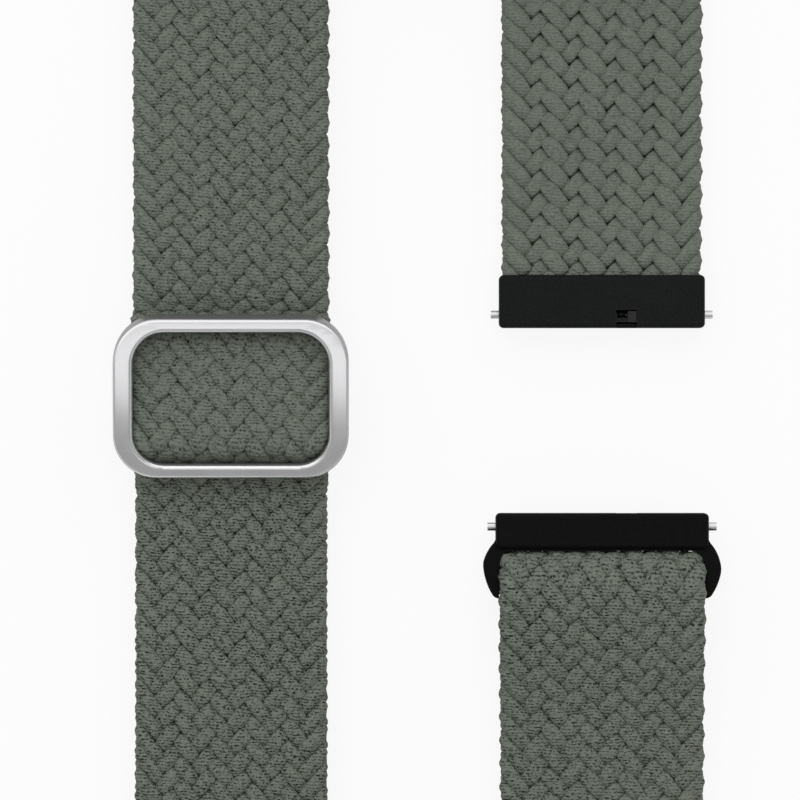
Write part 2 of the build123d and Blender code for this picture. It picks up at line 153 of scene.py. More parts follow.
class NodeBoard:
    """A node tree that is filled in line by line."""

    def __init__(self, tree: bpy.types.NodeTree) -> None:
        """Keeps the tree.

        Args:
            tree: the material's or group's node tree.
        """
        self.tree = tree

    def put(self, kind: str, **settings: object) -> bpy.types.Node:
        """Adds a node.

        Args:
            kind: the node's type name.
            settings: properties of the node, or values of its inputs under in_NAME or in_NUMBER.

        Returns:
            The node.
        """
        node = self.tree.nodes.new(kind)
        for name, value in settings.items():
            if not name.startswith("in_"):
                setattr(node, name, value)
        for name, value in settings.items():
            if name.startswith("in_"):
                key = name[3:]
                self.feed(node.inputs[int(key) if key.isdigit() else key.replace("_", " ")], value)
        return node

    def feed(self, socket: bpy.types.NodeSocket, value: object) -> None:
        """Sets an input, or links it where the value is another node's output.

        Args:
            socket: the input.
            value: a value, or another node's output.
        """
        if isinstance(value, bpy.types.NodeSocket):
            self.tree.links.new(value, socket)
        else:
            socket.default_value = value

    def calc(self, operation: str, *values: object) -> bpy.types.NodeSocket:
        """The result of a Math node on up to three values.

        Args:
            operation: the node's operation.
            values: its inputs, values or outputs.

        Returns:
            The result.
        """
        node = self.put("ShaderNodeMath", operation=operation)
        for socket, value in zip(node.inputs, values):
            self.feed(socket, value)
        return node.outputs[0]

    def ramp(self, value: object, low: float, high: float, start: float, end: float,
             smooth: bool = True) -> bpy.types.NodeSocket:
        """A value mapped from low..high to start..end, and held at the ends.

        Args:
            value: what is mapped.
            low: where the result starts to change.
            high: where it stops changing.
            start: the result up to low.
            end: the result from high on.
            smooth: whether it eases in and out.

        Returns:
            The result.
        """
        kind = "SMOOTHSTEP" if smooth else "LINEAR"
        node = self.put("ShaderNodeMapRange", interpolation_type=kind, in_0=value, in_1=low, in_2=high,
                        in_3=start, in_4=end)
        return node.outputs[0]

    def noise(self, vector: object, scale: object, detail: float = 2.0) -> bpy.types.NodeSocket:
        """The value of a noise texture at a vector."""
        return self.put("ShaderNodeTexNoise", in_Vector=vector, in_Scale=scale, in_Detail=detail).outputs[0]

    def scaled(self, vector: object, factors: tuple[float, float, float]) -> bpy.types.NodeSocket:
        """A vector with each part times its own factor."""
        node = self.put("ShaderNodeVectorMath", operation="MULTIPLY", in_0=vector, in_1=factors)
        return node.outputs[0]

    def blended(self, share: object, dark: object, light: object) -> bpy.types.NodeSocket:
        """A colour between two colours.

        Args:
            share: how much of the light colour.
            dark: the colour at 0.
            light: the colour at 1.

        Returns:
            The colour.
        """
        node = self.put("ShaderNodeMix", data_type="RGBA")
        for index, value in ((0, share), (6, dark), (7, light)):
            self.feed(node.inputs[index], value)
        return node.outputs[2]

    def attribute(self, name: str, output: str = "Fac") -> bpy.types.NodeSocket:
        """An attribute of the mesh."""
        return self.put("ShaderNodeAttribute", attribute_name=name).outputs[output]

    def effect(self, tree: bpy.types.NodeTree, **settings: object) -> bpy.types.Node:
        """Places one of the shared node groups."""
        return self.put("ShaderNodeGroup", node_tree=tree, **settings)

    def fix(self, shader: bpy.types.Node, **values: float) -> None:
        """Sets what is the same all over on the shader's own sockets."""
        for name, value in values.items():
            shader.inputs[name.replace("_", " ")].default_value = value

    def bump(self, shader: bpy.types.Node, strength: float, distance: float, height: bpy.types.NodeSocket) -> None:
        """Gives a shader relief from a height, with its full depth in metres."""
        node = self.put("ShaderNodeBump", in_Strength=strength, in_Distance=distance, in_Height=height)
        self.feed(shader.inputs["Normal"], node.outputs[0])


class SurfaceEffects:
    """The shader node groups that several finishes share, each built once, at its first use."""

    @staticmethod
    def group(name: str, vector: str, numbers: dict[str, float], outputs: tuple[str, ...]
              ) -> tuple[NodeBoard, bpy.types.Node, bpy.types.Node]:
        """Starts a node group.

        Args:
            name: the group's name.
            vector: the name of its vector input.
            numbers: its other inputs, with their defaults.
            outputs: its outputs, which are numbers.

        Returns:
            Its board, its input node and its output node.
        """
        tree = bpy.data.node_groups.new(name, "ShaderNodeTree")
        tree.interface.new_socket(vector, in_out="INPUT", socket_type="NodeSocketVector")
        for label, value in numbers.items():
            tree.interface.new_socket(label, in_out="INPUT", socket_type="NodeSocketFloat").default_value = value
        for label in outputs:
            tree.interface.new_socket(label, in_out="OUTPUT", socket_type="NodeSocketFloat")
        board = NodeBoard(tree)
        return board, board.put("NodeGroupInput"), board.put("NodeGroupOutput")

    @cached_property
    def knit(self) -> bpy.types.NodeTree:
        """Knitted yarn: painted shade in short dark cross dashes in the gaps between stitches, in staggered rows, with
        stray fibres.

        Lay is the flat place on the braid in millimetres, Yarn the yarn's number, Pitch and Wale the size of a
        stitch along and across the band.

        Returns:
            The node group.
        """
        board, given, result = self.group("knit", "Lay", {"Yarn": 0.0, "Pitch": 0.30, "Wale": 0.36, "Contrast": 1.0},
                                          ("Height", "Shade"))
        lay = given.outputs["Lay"]
        # The rows wander, and neighbouring yarns and rows are out of step.
        wander = board.put("ShaderNodeTexNoise", in_Vector=lay, in_Scale=1.0, in_Detail=1.0).outputs["Color"]
        wander = board.put("ShaderNodeVectorMath", operation="SUBTRACT", in_0=wander, in_1=(0.5, 0.5, 0.5))
        moved = board.put("ShaderNodeVectorMath", operation="MULTIPLY_ADD", in_0=wander.outputs[0],
                          in_1=(0.60, 0.42, 0.0), in_2=lay)
        parts = board.put("ShaderNodeSeparateXYZ", in_0=moved.outputs[0])
        height = board.put("ShaderNodeSeparateXYZ", in_0=lay).outputs[2]
        down = board.calc("DIVIDE", parts.outputs[1], given.outputs["Pitch"])
        down = board.calc("MULTIPLY_ADD", given.outputs["Yarn"], 0.37, down)
        row = board.calc("FLOOR", down)
        slip = board.put("ShaderNodeTexWhiteNoise", noise_dimensions="1D", in_W=row).outputs["Value"]
        along = board.calc("MULTIPLY_ADD", row, 0.5, board.calc("DIVIDE", parts.outputs[0], given.outputs["Wale"]))
        along = board.calc("MULTIPLY_ADD", slip, 0.30, along)
        along = board.calc("MULTIPLY_ADD", given.outputs["Yarn"], 0.61, along)
        # Painted shade in the gaps: a dark dash across each stitch, some fainter than others, and a short upright dark
        # joint between two stitches; both also sink the relief.
        cell = board.put("ShaderNodeCombineXYZ", in_0=row, in_1=board.calc("FLOOR", along), in_2=given.outputs["Yarn"])
        chance = board.put("ShaderNodeTexWhiteNoise", noise_dimensions="3D", in_Vector=cell.outputs[0])
        from_row = board.calc("ABSOLUTE", board.calc("SUBTRACT", board.calc("FRACT", down), 0.5))
        from_cell = board.calc("ABSOLUTE", board.calc("SUBTRACT", board.calc("FRACT", along), 0.5))
        dash = board.calc("MULTIPLY", board.ramp(from_row, 0.08, 0.42, 1.0, 0.0),
                          board.ramp(from_cell, 0.28, 0.50, 1.0, 0.15))
        dash = board.calc("MULTIPLY", dash, board.ramp(chance.outputs["Value"], 0.0, 0.9, 0.58, 1.0, False))
        joint = board.calc("MULTIPLY", board.ramp(from_cell, 0.36, 0.50, 0.0, 0.45),
                           board.ramp(from_row, 0.10, 0.40, 0.2, 1.0))
        dash = board.calc("MAXIMUM", dash, joint)
        fibre = board.noise(board.scaled(lay, (3.6, 6.0, 5.0)), 1.2, 2.0)
        relief = board.calc("SUBTRACT", board.calc("MULTIPLY_ADD", fibre, 0.45, 0.8), dash)
        board.feed(result.inputs["Height"], relief)
        # Painted shade where yarns dive under their neighbours, and a tone that differs a little from place to place
        # and from yarn to yarn.
        depth = board.ramp(board.calc("ABSOLUTE", height), 0.28, 0.86, 0.16, 1.0)
        patch = board.ramp(board.noise(lay, 0.11, 1.0), 0.35, 0.65, 0.95, 1.05, False)
        cord = board.calc("SINE", board.calc("MULTIPLY", given.outputs["Yarn"], 12.9))
        cord = board.calc("MULTIPLY_ADD", cord, 0.025, 1.0)
        # Blots and stray fibres lie over the dashes.
        blot = board.ramp(board.noise(lay, 2.6, 1.0), 0.3, 0.7, -0.025, 0.375, False)
        grain = board.calc("ADD", blot, board.ramp(fibre, 0.25, 0.75, -0.55, 0.55, False))
        detail = board.calc("MULTIPLY_ADD", dash, -0.57, grain)
        shade = board.calc("MULTIPLY_ADD", detail, given.outputs["Contrast"], 0.88)
        shade = board.calc("MULTIPLY", board.calc("MULTIPLY", shade, depth), board.calc("MULTIPLY", patch, cord))
        board.feed(result.inputs["Shade"], shade)
        return board.tree

    @cached_property
    def edge_wear_and_highlight(self) -> bpy.types.NodeTree:
        """Rubbed edges that also serve as painted edge highlights: 1 along sharp edges, broken up, 0 on faces.

        Returns:
            The node group.
        """
        board, given, result = self.group("edge_wear_and_highlight", "Place", {"Radius": 0.0002, "Breakup": 1.0}, ("Wear",))
        rounded = board.put("ShaderNodeBevel", samples=4, in_Radius=given.outputs["Radius"])
        facing = board.put("ShaderNodeNewGeometry")
        turned = board.put("ShaderNodeVectorMath", operation="DOT_PRODUCT", in_0=rounded.outputs[0],
                           in_1=facing.outputs["Normal"])
        edge = board.ramp(turned.outputs["Value"], 0.99, 0.90, 0.0, 1.0)
        patch = board.ramp(board.noise(given.outputs["Place"], 900.0, 3.0), 0.4, 0.62, 0.0, 1.0)
        patch = board.calc("MULTIPLY_ADD", patch, given.outputs["Breakup"],
                           board.calc("SUBTRACT", 1.0, given.outputs["Breakup"]))
        board.feed(result.inputs["Wear"], board.calc("MULTIPLY", edge, patch))
        return board.tree

    @cached_property
    def fine_grain(self) -> bpy.types.NodeTree:
        """A fine even grain, blasted or moulded, with slow changes of gloss.

        Returns:
            The node group.
        """
        board, given, result = self.group("fine_grain", "Place", {"Size": 12000.0}, ("Height", "Cloud"))
        board.feed(result.inputs["Height"], board.noise(given.outputs["Place"], given.outputs["Size"], 2.0))
        board.feed(result.inputs["Cloud"], board.noise(given.outputs["Place"], 260.0, 2.0))
        return board.tree


EFFECTS = SurfaceEffects()


@dataclass(frozen=True)
class Finish:
    """A material: the name of its slot in the record, and how it is made."""

    slot: str
    variant: str = "finish"

    @property
    def name(self) -> str:
        """The material's own name, unlike that of the plain one that comes with the solids."""
        return self.slot + "_" + self.variant

    def board(self) -> tuple[bpy.types.Material, NodeBoard, bpy.types.Node]:
        """An empty material with its shader.

        Returns:
            The material, its board and its Principled node.
        """
        material = bpy.data.materials.new(self.name)
        material.use_nodes = True
        board = NodeBoard(material.node_tree)
        return material, board, material.node_tree.nodes["Principled BSDF"]

    def made(self) -> bpy.types.Material:
        """The finished material, made at its first use."""
        found = bpy.data.materials.get(self.name)
        return found if found else self.make()

    def make(self) -> bpy.types.Material:
        """Makes the material."""
        raise NotImplementedError

    def dress(self, piece: bpy.types.Object) -> bpy.types.Object:
        """Gives the material to a piece, in place of what it has.

        Args:
            piece: the piece.

        Returns:
            The same piece.
        """
        piece.data.materials.clear()
        piece.data.materials.append(self.made())
        return piece


@dataclass(frozen=True)
class YarnFinish(Finish):
    """Knitted polyester yarn, grey-green and matt."""

    colour: Colour = (0.180, 0.201, 0.166, 1.0)
    shadow: Colour = (0.012, 0.015, 0.012, 1.0)
    stitch_depth: float = 0.06 * MM

    def make(self) -> bpy.types.Material:
        """Makes the material.

        Returns:
            The material.
        """
        material, board, shader = self.board()
        knit = board.effect(EFFECTS.knit, in_Lay=board.attribute("lay", "Vector"), in_Yarn=board.attribute("yarn"),
                            in_Contrast=board.attribute("contrast"))
        # The knit's painted shade and tone take the yarn's colour towards its shadow colour.
        board.feed(shader.inputs["Base Color"], board.blended(knit.outputs["Shade"], self.shadow, self.colour))
        board.fix(shader, Roughness=0.88, Specular_IOR_Level=0.25, Sheen_Weight=0.08, Sheen_Roughness=0.5)
        board.bump(shader, 0.9, self.stitch_depth, knit.outputs["Height"])
        return material


@dataclass(frozen=True)
class MetalFinish(Finish):
    """Metal, blasted, or drawn along X.

    bore_shade_within is how far from the middle of the right side the metal is painted black, as painted shade on the
    pins in the connector's dark bore. The painted_wall_shade attribute, 0 to 1, paints shade on the walls of a frame,
    in a darker and less metallic colour.
    """

    colour: Colour = (0.80, 0.80, 0.81, 1.0)
    roughness: float = 0.34
    grain: float = 14000.0
    drawn: float = 1.0
    relief: float = 0.004 * MM
    bore_shade_within: float = 0.0
    bore_shade: Colour = (0.030, 0.031, 0.030, 1.0)
    # How dark and how metallic the painted wall shade makes a wall.
    wall_shade_tone: float = 0.24
    wall_metal: float = 0.3

    def make(self) -> bpy.types.Material:
        """Makes the material.

        Returns:
            The material.
        """
        material, board, shader = self.board()
        place = board.put("ShaderNodeTexCoord").outputs["Object"]
        drawn = board.scaled(place, (self.drawn, 1.0, 1.0))
        grain = board.effect(EFFECTS.fine_grain, in_Place=drawn, in_Size=self.grain)
        # Sharp edges turn lighter: rubbed wear, and a painted edge highlight.
        wear = board.effect(EFFECTS.edge_wear_and_highlight, in_Place=place, in_Radius=0.25 * MM)
        tone = board.ramp(grain.outputs["Cloud"], 0.3, 0.7, 0.0, 1.0)
        worn = board.calc("MAXIMUM", board.calc("MULTIPLY", tone, 0.45), wear.outputs["Wear"])
        dark = tuple(part * 0.93 for part in self.colour[:3]) + (1.0,)
        satin = board.blended(worn, dark, self.colour)
        # Painted shade: inside the connector's bore the pins are painted black.
        if self.bore_shade_within > 0.0:
            along = board.put("ShaderNodeSeparateXYZ", in_0=place).outputs[0]
            from_middle = board.calc("ABSOLUTE", board.calc("SUBTRACT", along, RIGHT_X * MM))
            inside = board.ramp(from_middle, self.bore_shade_within, self.bore_shade_within + 0.2 * MM, 1.0, 0.0)
            satin = board.blended(inside, satin, self.bore_shade)
        # Painted shade on the frame's walls and cheeks, as a darker and less metallic colour.
        wall = board.attribute("painted_wall_shade")
        shade = tuple(part * self.wall_shade_tone for part in self.colour[:3]) + (1.0,)
        board.feed(shader.inputs["Base Color"], board.blended(wall, satin, shade))
        board.feed(shader.inputs["Metallic"], board.calc("MULTIPLY_ADD", wall, self.wall_metal - 1.0, 1.0))
        rough = board.ramp(grain.outputs["Cloud"], 0.3, 0.7, self.roughness * 0.94, self.roughness * 1.06)
        rough = board.calc("MULTIPLY_ADD", wear.outputs["Wear"], -0.06, rough)
        board.feed(shader.inputs["Roughness"], rough)
        board.bump(shader, 0.5, self.relief, grain.outputs["Height"])
        return material


@dataclass(frozen=True)
class MouldedFinish(Finish):
    """Black moulded plastic with a fine matt grain."""

    colour: Colour = (0.0058, 0.0064, 0.0060, 1.0)
    worn: Colour = (0.022, 0.024, 0.023, 1.0)
    grain: float = 7000.0
    relief: float = 0.01 * MM

    def make(self) -> bpy.types.Material:
        """Makes the material.

        Returns:
            The material.
        """
        material, board, shader = self.board()
        place = board.put("ShaderNodeTexCoord").outputs["Object"]
        grain = board.effect(EFFECTS.fine_grain, in_Place=place, in_Size=self.grain)
        wear = board.effect(EFFECTS.edge_wear_and_highlight, in_Place=place, in_Radius=0.2 * MM, in_Breakup=0.7)
        tone = board.ramp(grain.outputs["Height"], 0.3, 0.7, 0.0, 0.42, False)
        # Sharp edges turn towards the lighter worn colour: rubbed wear, and a painted edge highlight.
        tone = board.calc("MULTIPLY_ADD", wear.outputs["Wear"], 0.35, tone)
        board.feed(shader.inputs["Base Color"], board.blended(tone, self.colour, self.worn))
        board.feed(shader.inputs["Roughness"], board.ramp(grain.outputs["Cloud"], 0.3, 0.7, 0.50, 0.60))
        board.fix(shader, Specular_IOR_Level=0.07)
        board.bump(shader, 0.35, self.relief, grain.outputs["Height"])
        return material


@dataclass(frozen=True)
class ThreadFinish(Finish):
    """Waxed sewing thread, twisted, near the colour of the band."""

    colour: Colour = (0.085, 0.100, 0.085, 1.0)
    shadow: Colour = (0.030, 0.036, 0.030, 1.0)
    twist: float = 1400.0
    relief: float = 0.03 * MM

    def make(self) -> bpy.types.Material:
        """Makes the material.

        Returns:
            The material.
        """
        material, board, shader = self.board()
        place = board.put("ShaderNodeTexCoord").outputs["Object"]
        twist = board.put("ShaderNodeTexWave", bands_direction="DIAGONAL", in_Vector=place, in_Scale=self.twist,
                          in_Distortion=1.5, in_Detail=2.0)
        board.feed(shader.inputs["Base Color"], board.blended(twist.outputs["Fac"], self.shadow, self.colour))
        board.fix(shader, Roughness=0.55)
        board.bump(shader, 0.6, self.relief, twist.outputs["Fac"])
        return material


BAND_YARN = YarnFinish("band_yarn")
SEWING_THREAD = ThreadFinish("sewing_thread")
SLIDER_METAL = MetalFinish("slider_metal", "satin", (0.70, 0.70, 0.71, 1.0), 0.30)
SLIDER_BAR_STEEL = MetalFinish("slider_bar_steel", "drawn", (0.56, 0.57, 0.58, 1.0), 0.28, 9000.0, 0.05)
FIXED_BLACK = MouldedFinish("connector_black", "fixed", (0.0049, 0.0059, 0.0051, 1.0))
LOOP_BLACK = MouldedFinish("connector_black", "loop", (0.0009, 0.0009, 0.0012, 1.0), (0.010, 0.010, 0.011, 1.0))
# The pins' tips are bright; inside the connector's bore they are painted black as shade.
PIN_STEEL = MetalFinish("spring_bar_steel", "bright", (0.62, 0.62, 0.63, 1.0), 0.24, 9000.0, 0.05,
                        bore_shade_within=0.0093)
BLACKED_STEEL = MetalFinish("spring_bar_steel", "blacked", (0.030, 0.031, 0.030, 1.0), 0.42, 9000.0, 0.05)
BLACKED_COIL = MetalFinish("coil_spring_steel", "blacked", (0.030, 0.030, 0.031, 1.0), 0.40, 12000.0, 1.0)


# ---------------------------------------------------------------- the band's way


def ease(share: np.ndarray) -> np.ndarray:
    """A smooth step from 0 to 1, held at the ends."""
    held = np.clip(share, 0.0, 1.0)
    return held * held * (3.0 - 2.0 * held)


class Stretch:
    """A length of the band's way: it says where a flat point of the braid lies in space."""

    length: float = 0.0

    def place(self, across: np.ndarray, travel: np.ndarray, height: np.ndarray) -> np.ndarray:
        """Where flat points lie.

        Args:
            across: distance from the band's middle, in millimetres.
            travel: distance along this stretch.
            height: distance above the braid's middle, on its outer face's side.

        Returns:
            The points, one to a row, in millimetres.
        """
        raise NotImplementedError


class SideStretch(Stretch):
    """A stretch that is drawn in side view, and is the same all across the band."""

    def __init__(self, strip_x: float, outline: np.ndarray, thin_start: float = 1.0, thin_end: float = 1.0) -> None:
        """Measures the outline.

        Args:
            strip_x: X of the band's middle.
            outline: points of the braid's middle line, Y and Z, close together.
            thin_start: share of the full thickness at the start.
            thin_end: share of the full thickness at the end.
        """
        steps = np.hypot(*np.diff(outline, axis=0).T)
        self.strip_x = strip_x
        self.outline = outline
        self.travelled = np.concatenate(([0.0], np.cumsum(steps)))
        self.length = float(self.travelled[-1])
        self.heading = np.gradient(outline, self.travelled, axis=0)
        self.heading /= np.linalg.norm(self.heading, axis=1)[:, None]
        self.thin = (thin_start, thin_end)

    def place(self, across: np.ndarray, travel: np.ndarray, height: np.ndarray) -> np.ndarray:
        """Where flat points lie, as the base class says.

        Args:
            across: distance from the band's middle, in millimetres.
            travel: distance along this stretch.
            height: distance above the braid's middle, on its outer face's side.

        Returns:
            The points, one to a row, in millimetres.
        """
        inside = np.clip(travel, 0.0, self.length)
        beyond = travel - inside
        y = np.interp(inside, self.travelled, self.outline[:, 0])
        z = np.interp(inside, self.travelled, self.outline[:, 1])
        head_y = np.interp(inside, self.travelled, self.heading[:, 0])
        head_z = np.interp(inside, self.travelled, self.heading[:, 1])
        thin = self.thin[0] + (self.thin[1] - self.thin[0]) * ease(inside / self.length)
        lift = height * thin
        return np.stack((self.strip_x - across, y + beyond * head_y + lift * head_z,
                         z + beyond * head_z - lift * head_y), axis=1)


class Turn(Stretch):
    """A stretch that leaves the photograph and comes back on the other side, on its edge half way."""

    def __init__(self, right_z: float, left_z: float, mirrored: bool, leftward: bool, inset: float) -> None:
        """Keeps the turn's levels and measures its middle line.

        Args:
            right_z: level of the outer layer's middle on the right.
            left_z: the same on the left.
            mirrored: True for the turn at the bottom.
            leftward: True where the braid runs from right to left.
            inset: how far this layer lies inside the outer one.
        """
        self.right_z, self.left_z = right_z, left_z
        self.mirrored, self.leftward, self.inset = mirrored, leftward, inset
        self.length = 1.0   # while it isn't known, travel is a share of it
        count = 400
        share = np.linspace(0.0, 1.0, count)
        line = self.place(np.zeros(count), share, np.zeros(count))
        self.length = float(np.linalg.norm(np.diff(line, axis=0), axis=1).sum())

    def place(self, across: np.ndarray, travel: np.ndarray, height: np.ndarray) -> np.ndarray:
        """Where flat points lie, as the base class says.

        Args:
            across: distance from the band's middle, in millimetres.
            travel: distance along this stretch.
            height: distance above the braid's middle, on its outer face's side.

        Returns:
            The points, one to a row, in millimetres.
        """
        along = travel / self.length
        share = along if self.leftward else 1.0 - along
        half_turn = math.pi * TURN_RADIUS
        distance = share * (2.0 * TURN_LEAD + half_turn)
        angle = np.clip(distance - TURN_LEAD, 0.0, half_turn) / TURN_RADIUS
        before = np.minimum(distance, TURN_LEAD)
        after = np.maximum(distance - TURN_LEAD - half_turn, 0.0)
        inward = np.stack((-np.cos(angle), -np.sin(angle), np.zeros_like(angle)), axis=1)
        lean = math.pi / 2 * (1.0 + ease((1.0 - share) / ROLL_SHARE) - ease(share / ROLL_SHARE))
        flat_z = np.where(share < 0.5, self.right_z, self.left_z)
        middle_z = TURN_EDGE_Z * np.sin(lean) + flat_z * np.abs(np.cos(lean))
        middle = -inward * TURN_RADIUS
        middle[:, 1] += STRAIGHT_END + before - after
        middle[:, 2] += middle_z
        up = np.array((0.0, 0.0, 1.0))
        wide = inward * np.cos(lean)[:, None] + up * np.sin(lean)[:, None]
        out = up * np.cos(lean)[:, None] - inward * np.sin(lean)[:, None]
        side = -1.0 if self.inset > 0.0 else 1.0
        points = middle - out * self.inset - wide * across[:, None] + out * (side * height)[:, None]
        if self.mirrored:
            points[:, 1] *= -1.0
        return points


def straight(start: tuple[float, float], end: tuple[float, float]) -> np.ndarray:
    """Points on a straight line in side view, close together."""
    count = max(2, int(math.dist(start, end) / 0.25))
    return np.linspace(start, end, count)


def arc(centre: tuple[float, float], radius: float, start: float, end: float) -> np.ndarray:
    """Points on an arc in side view, from one angle to the other, in degrees."""
    angle = np.radians(np.linspace(start, end, 60))
    return np.stack((centre[0] + radius * np.cos(angle), centre[1] + radius * np.sin(angle)), axis=1)


def chained(*lines: np.ndarray) -> np.ndarray:
    """Lines joined end to end, without their doubled points."""
    return np.concatenate([lines[0]] + [line[1:] for line in lines[1:]])


def slider_line(start: float, end: float) -> np.ndarray:
    """The braid's middle line past the slider: up under its frame, over its bar and down behind it.

    Args:
        start: its first Y.
        end: its last Y.

    Returns:
        Its points, Y and Z.
    """
    grid = np.arange(-20.0, 20.0, CLIMB_STEP)
    lift = np.interp(grid, *np.array(CLIMB).T)
    for width in CLIMB_SMOOTHING:
        lift = np.convolve(lift, np.full(width, 1.0 / width), "same")
    y = np.linspace(start, end, int(abs(end - start) / 0.06))
    return np.stack((y, UPPER_Z + np.interp(y, grid, lift)), axis=1)


def return_line(start: float, end: float) -> np.ndarray:
    """The braid's middle line from the top of the crossbar down onto the layer below.

    Args:
        start: its first Y.
        end: its last Y.

    Returns:
        Its points, Y and Z.
    """
    y = np.linspace(start, end, 160)
    share = ease((CROSSBAR_Y - y) / RETURN_SETTLES)
    return np.stack((y, CROSSBAR_TOP_Z + (UPPER_Z - CROSSBAR_TOP_Z) * share), axis=1)


def level(strip_x: float, z: float, start: float, end: float) -> SideStretch:
    """A level stretch from one Y to another."""
    return SideStretch(strip_x, straight((start, z), (end, z)))


def bar_fold_line() -> np.ndarray:
    """The braid's middle line round the slider's bar, to the sewn end.

    Returns:
        Its points, Y and Z.
    """
    start = straight((HUMP_BOTTOM, LOWER_Z), (SLIDER_Y, LOWER_Z))
    turn = arc((SLIDER_Y, BAR_Z), BAR_FOLD, -90.0, 90.0)
    tail = chained(straight((SLIDER_Y, SEWN_TAIL[0][1]), SEWN_TAIL[0]), straight(*SEWN_TAIL))
    return chained(start, turn, tail)


class Quality(Enum):
    """Points along a yarn between two crossings, and points round it."""

    SHOWN = (9, 14)
    ROUND_THE_TURN = (5, 10)
    HIDDEN = (4, 8)


@dataclass(frozen=True)
class Follow:
    """What a length of the band moves with: one body, or a bend between two bodies, kept only as data."""

    body: str
    other: str = ""
    start: Place = (0.0, 0.0, 0.0)
    end: Place = (0.0, 0.0, 0.0)

    def apply(self, piece: bpy.types.Object) -> None:
        """Ties the piece to its one body; a bend's piece only gets its place baked into its mesh.

        Args:
            piece: the piece.
        """
        if self.other:
            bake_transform(piece)
        else:
            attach(piece, self.body)


@dataclass(frozen=True)
class Measure:
    """The braid's own sizes at a place.

    They are its row pitch, outer width and thickness, how far one lay stands proud, the slope of its rows, how far
    a yarn narrows where it dives, and how strongly its knit shows.
    """

    row: float
    width: float
    thickness: float = 2.0
    proud: float = 0.0
    slope: float = 0.0
    pinch: float = 0.12
    contrast: float = 1.0


#                      row   width thick proud  slope  pinch contrast
GLUED_END = Measure(2.097, 18.75, 1.85, 0.15, 0.027, 0.14, 0.5)
FIXED_RUN = Measure(2.097, 18.9, 2.0, 0.15, 0.027, 0.14, 0.5)
UPPER_RUN = Measure(2.068, 18.4, 1.94, 0.045, -0.08, 0.12, 1.12)
IN_SLIDER = Measure(2.24, 18.95, 1.94, 0.045, -0.055, 0.12, 1.15)
LOWER_RUN = Measure(2.068, 17.9, 1.94, 0.045, -0.055, 0.15, 1.75)
CROSSBAR_FACE = Measure(2.19, 19.4, 2.32, 0.05, -0.027, 0.12, 1.55)
RETURN_RUN = Measure(2.21, 19.05, 1.94, 0.06, -0.027, 0.15, 1.55)
HIDDEN_BRAID = Measure(2.15, 18.2, 1.96)


@dataclass
class Length:
    """A length of the band between two cuts."""

    nodes: tuple[str, ...]
    stretch: Stretch
    follow: Follow
    quality: Quality
    begins: Measure
    ends: Measure
    start: float = 0.0

    @property
    def end(self) -> float:
        """Travel at its end, from the glued end of the band."""
        return self.start + self.stretch.length


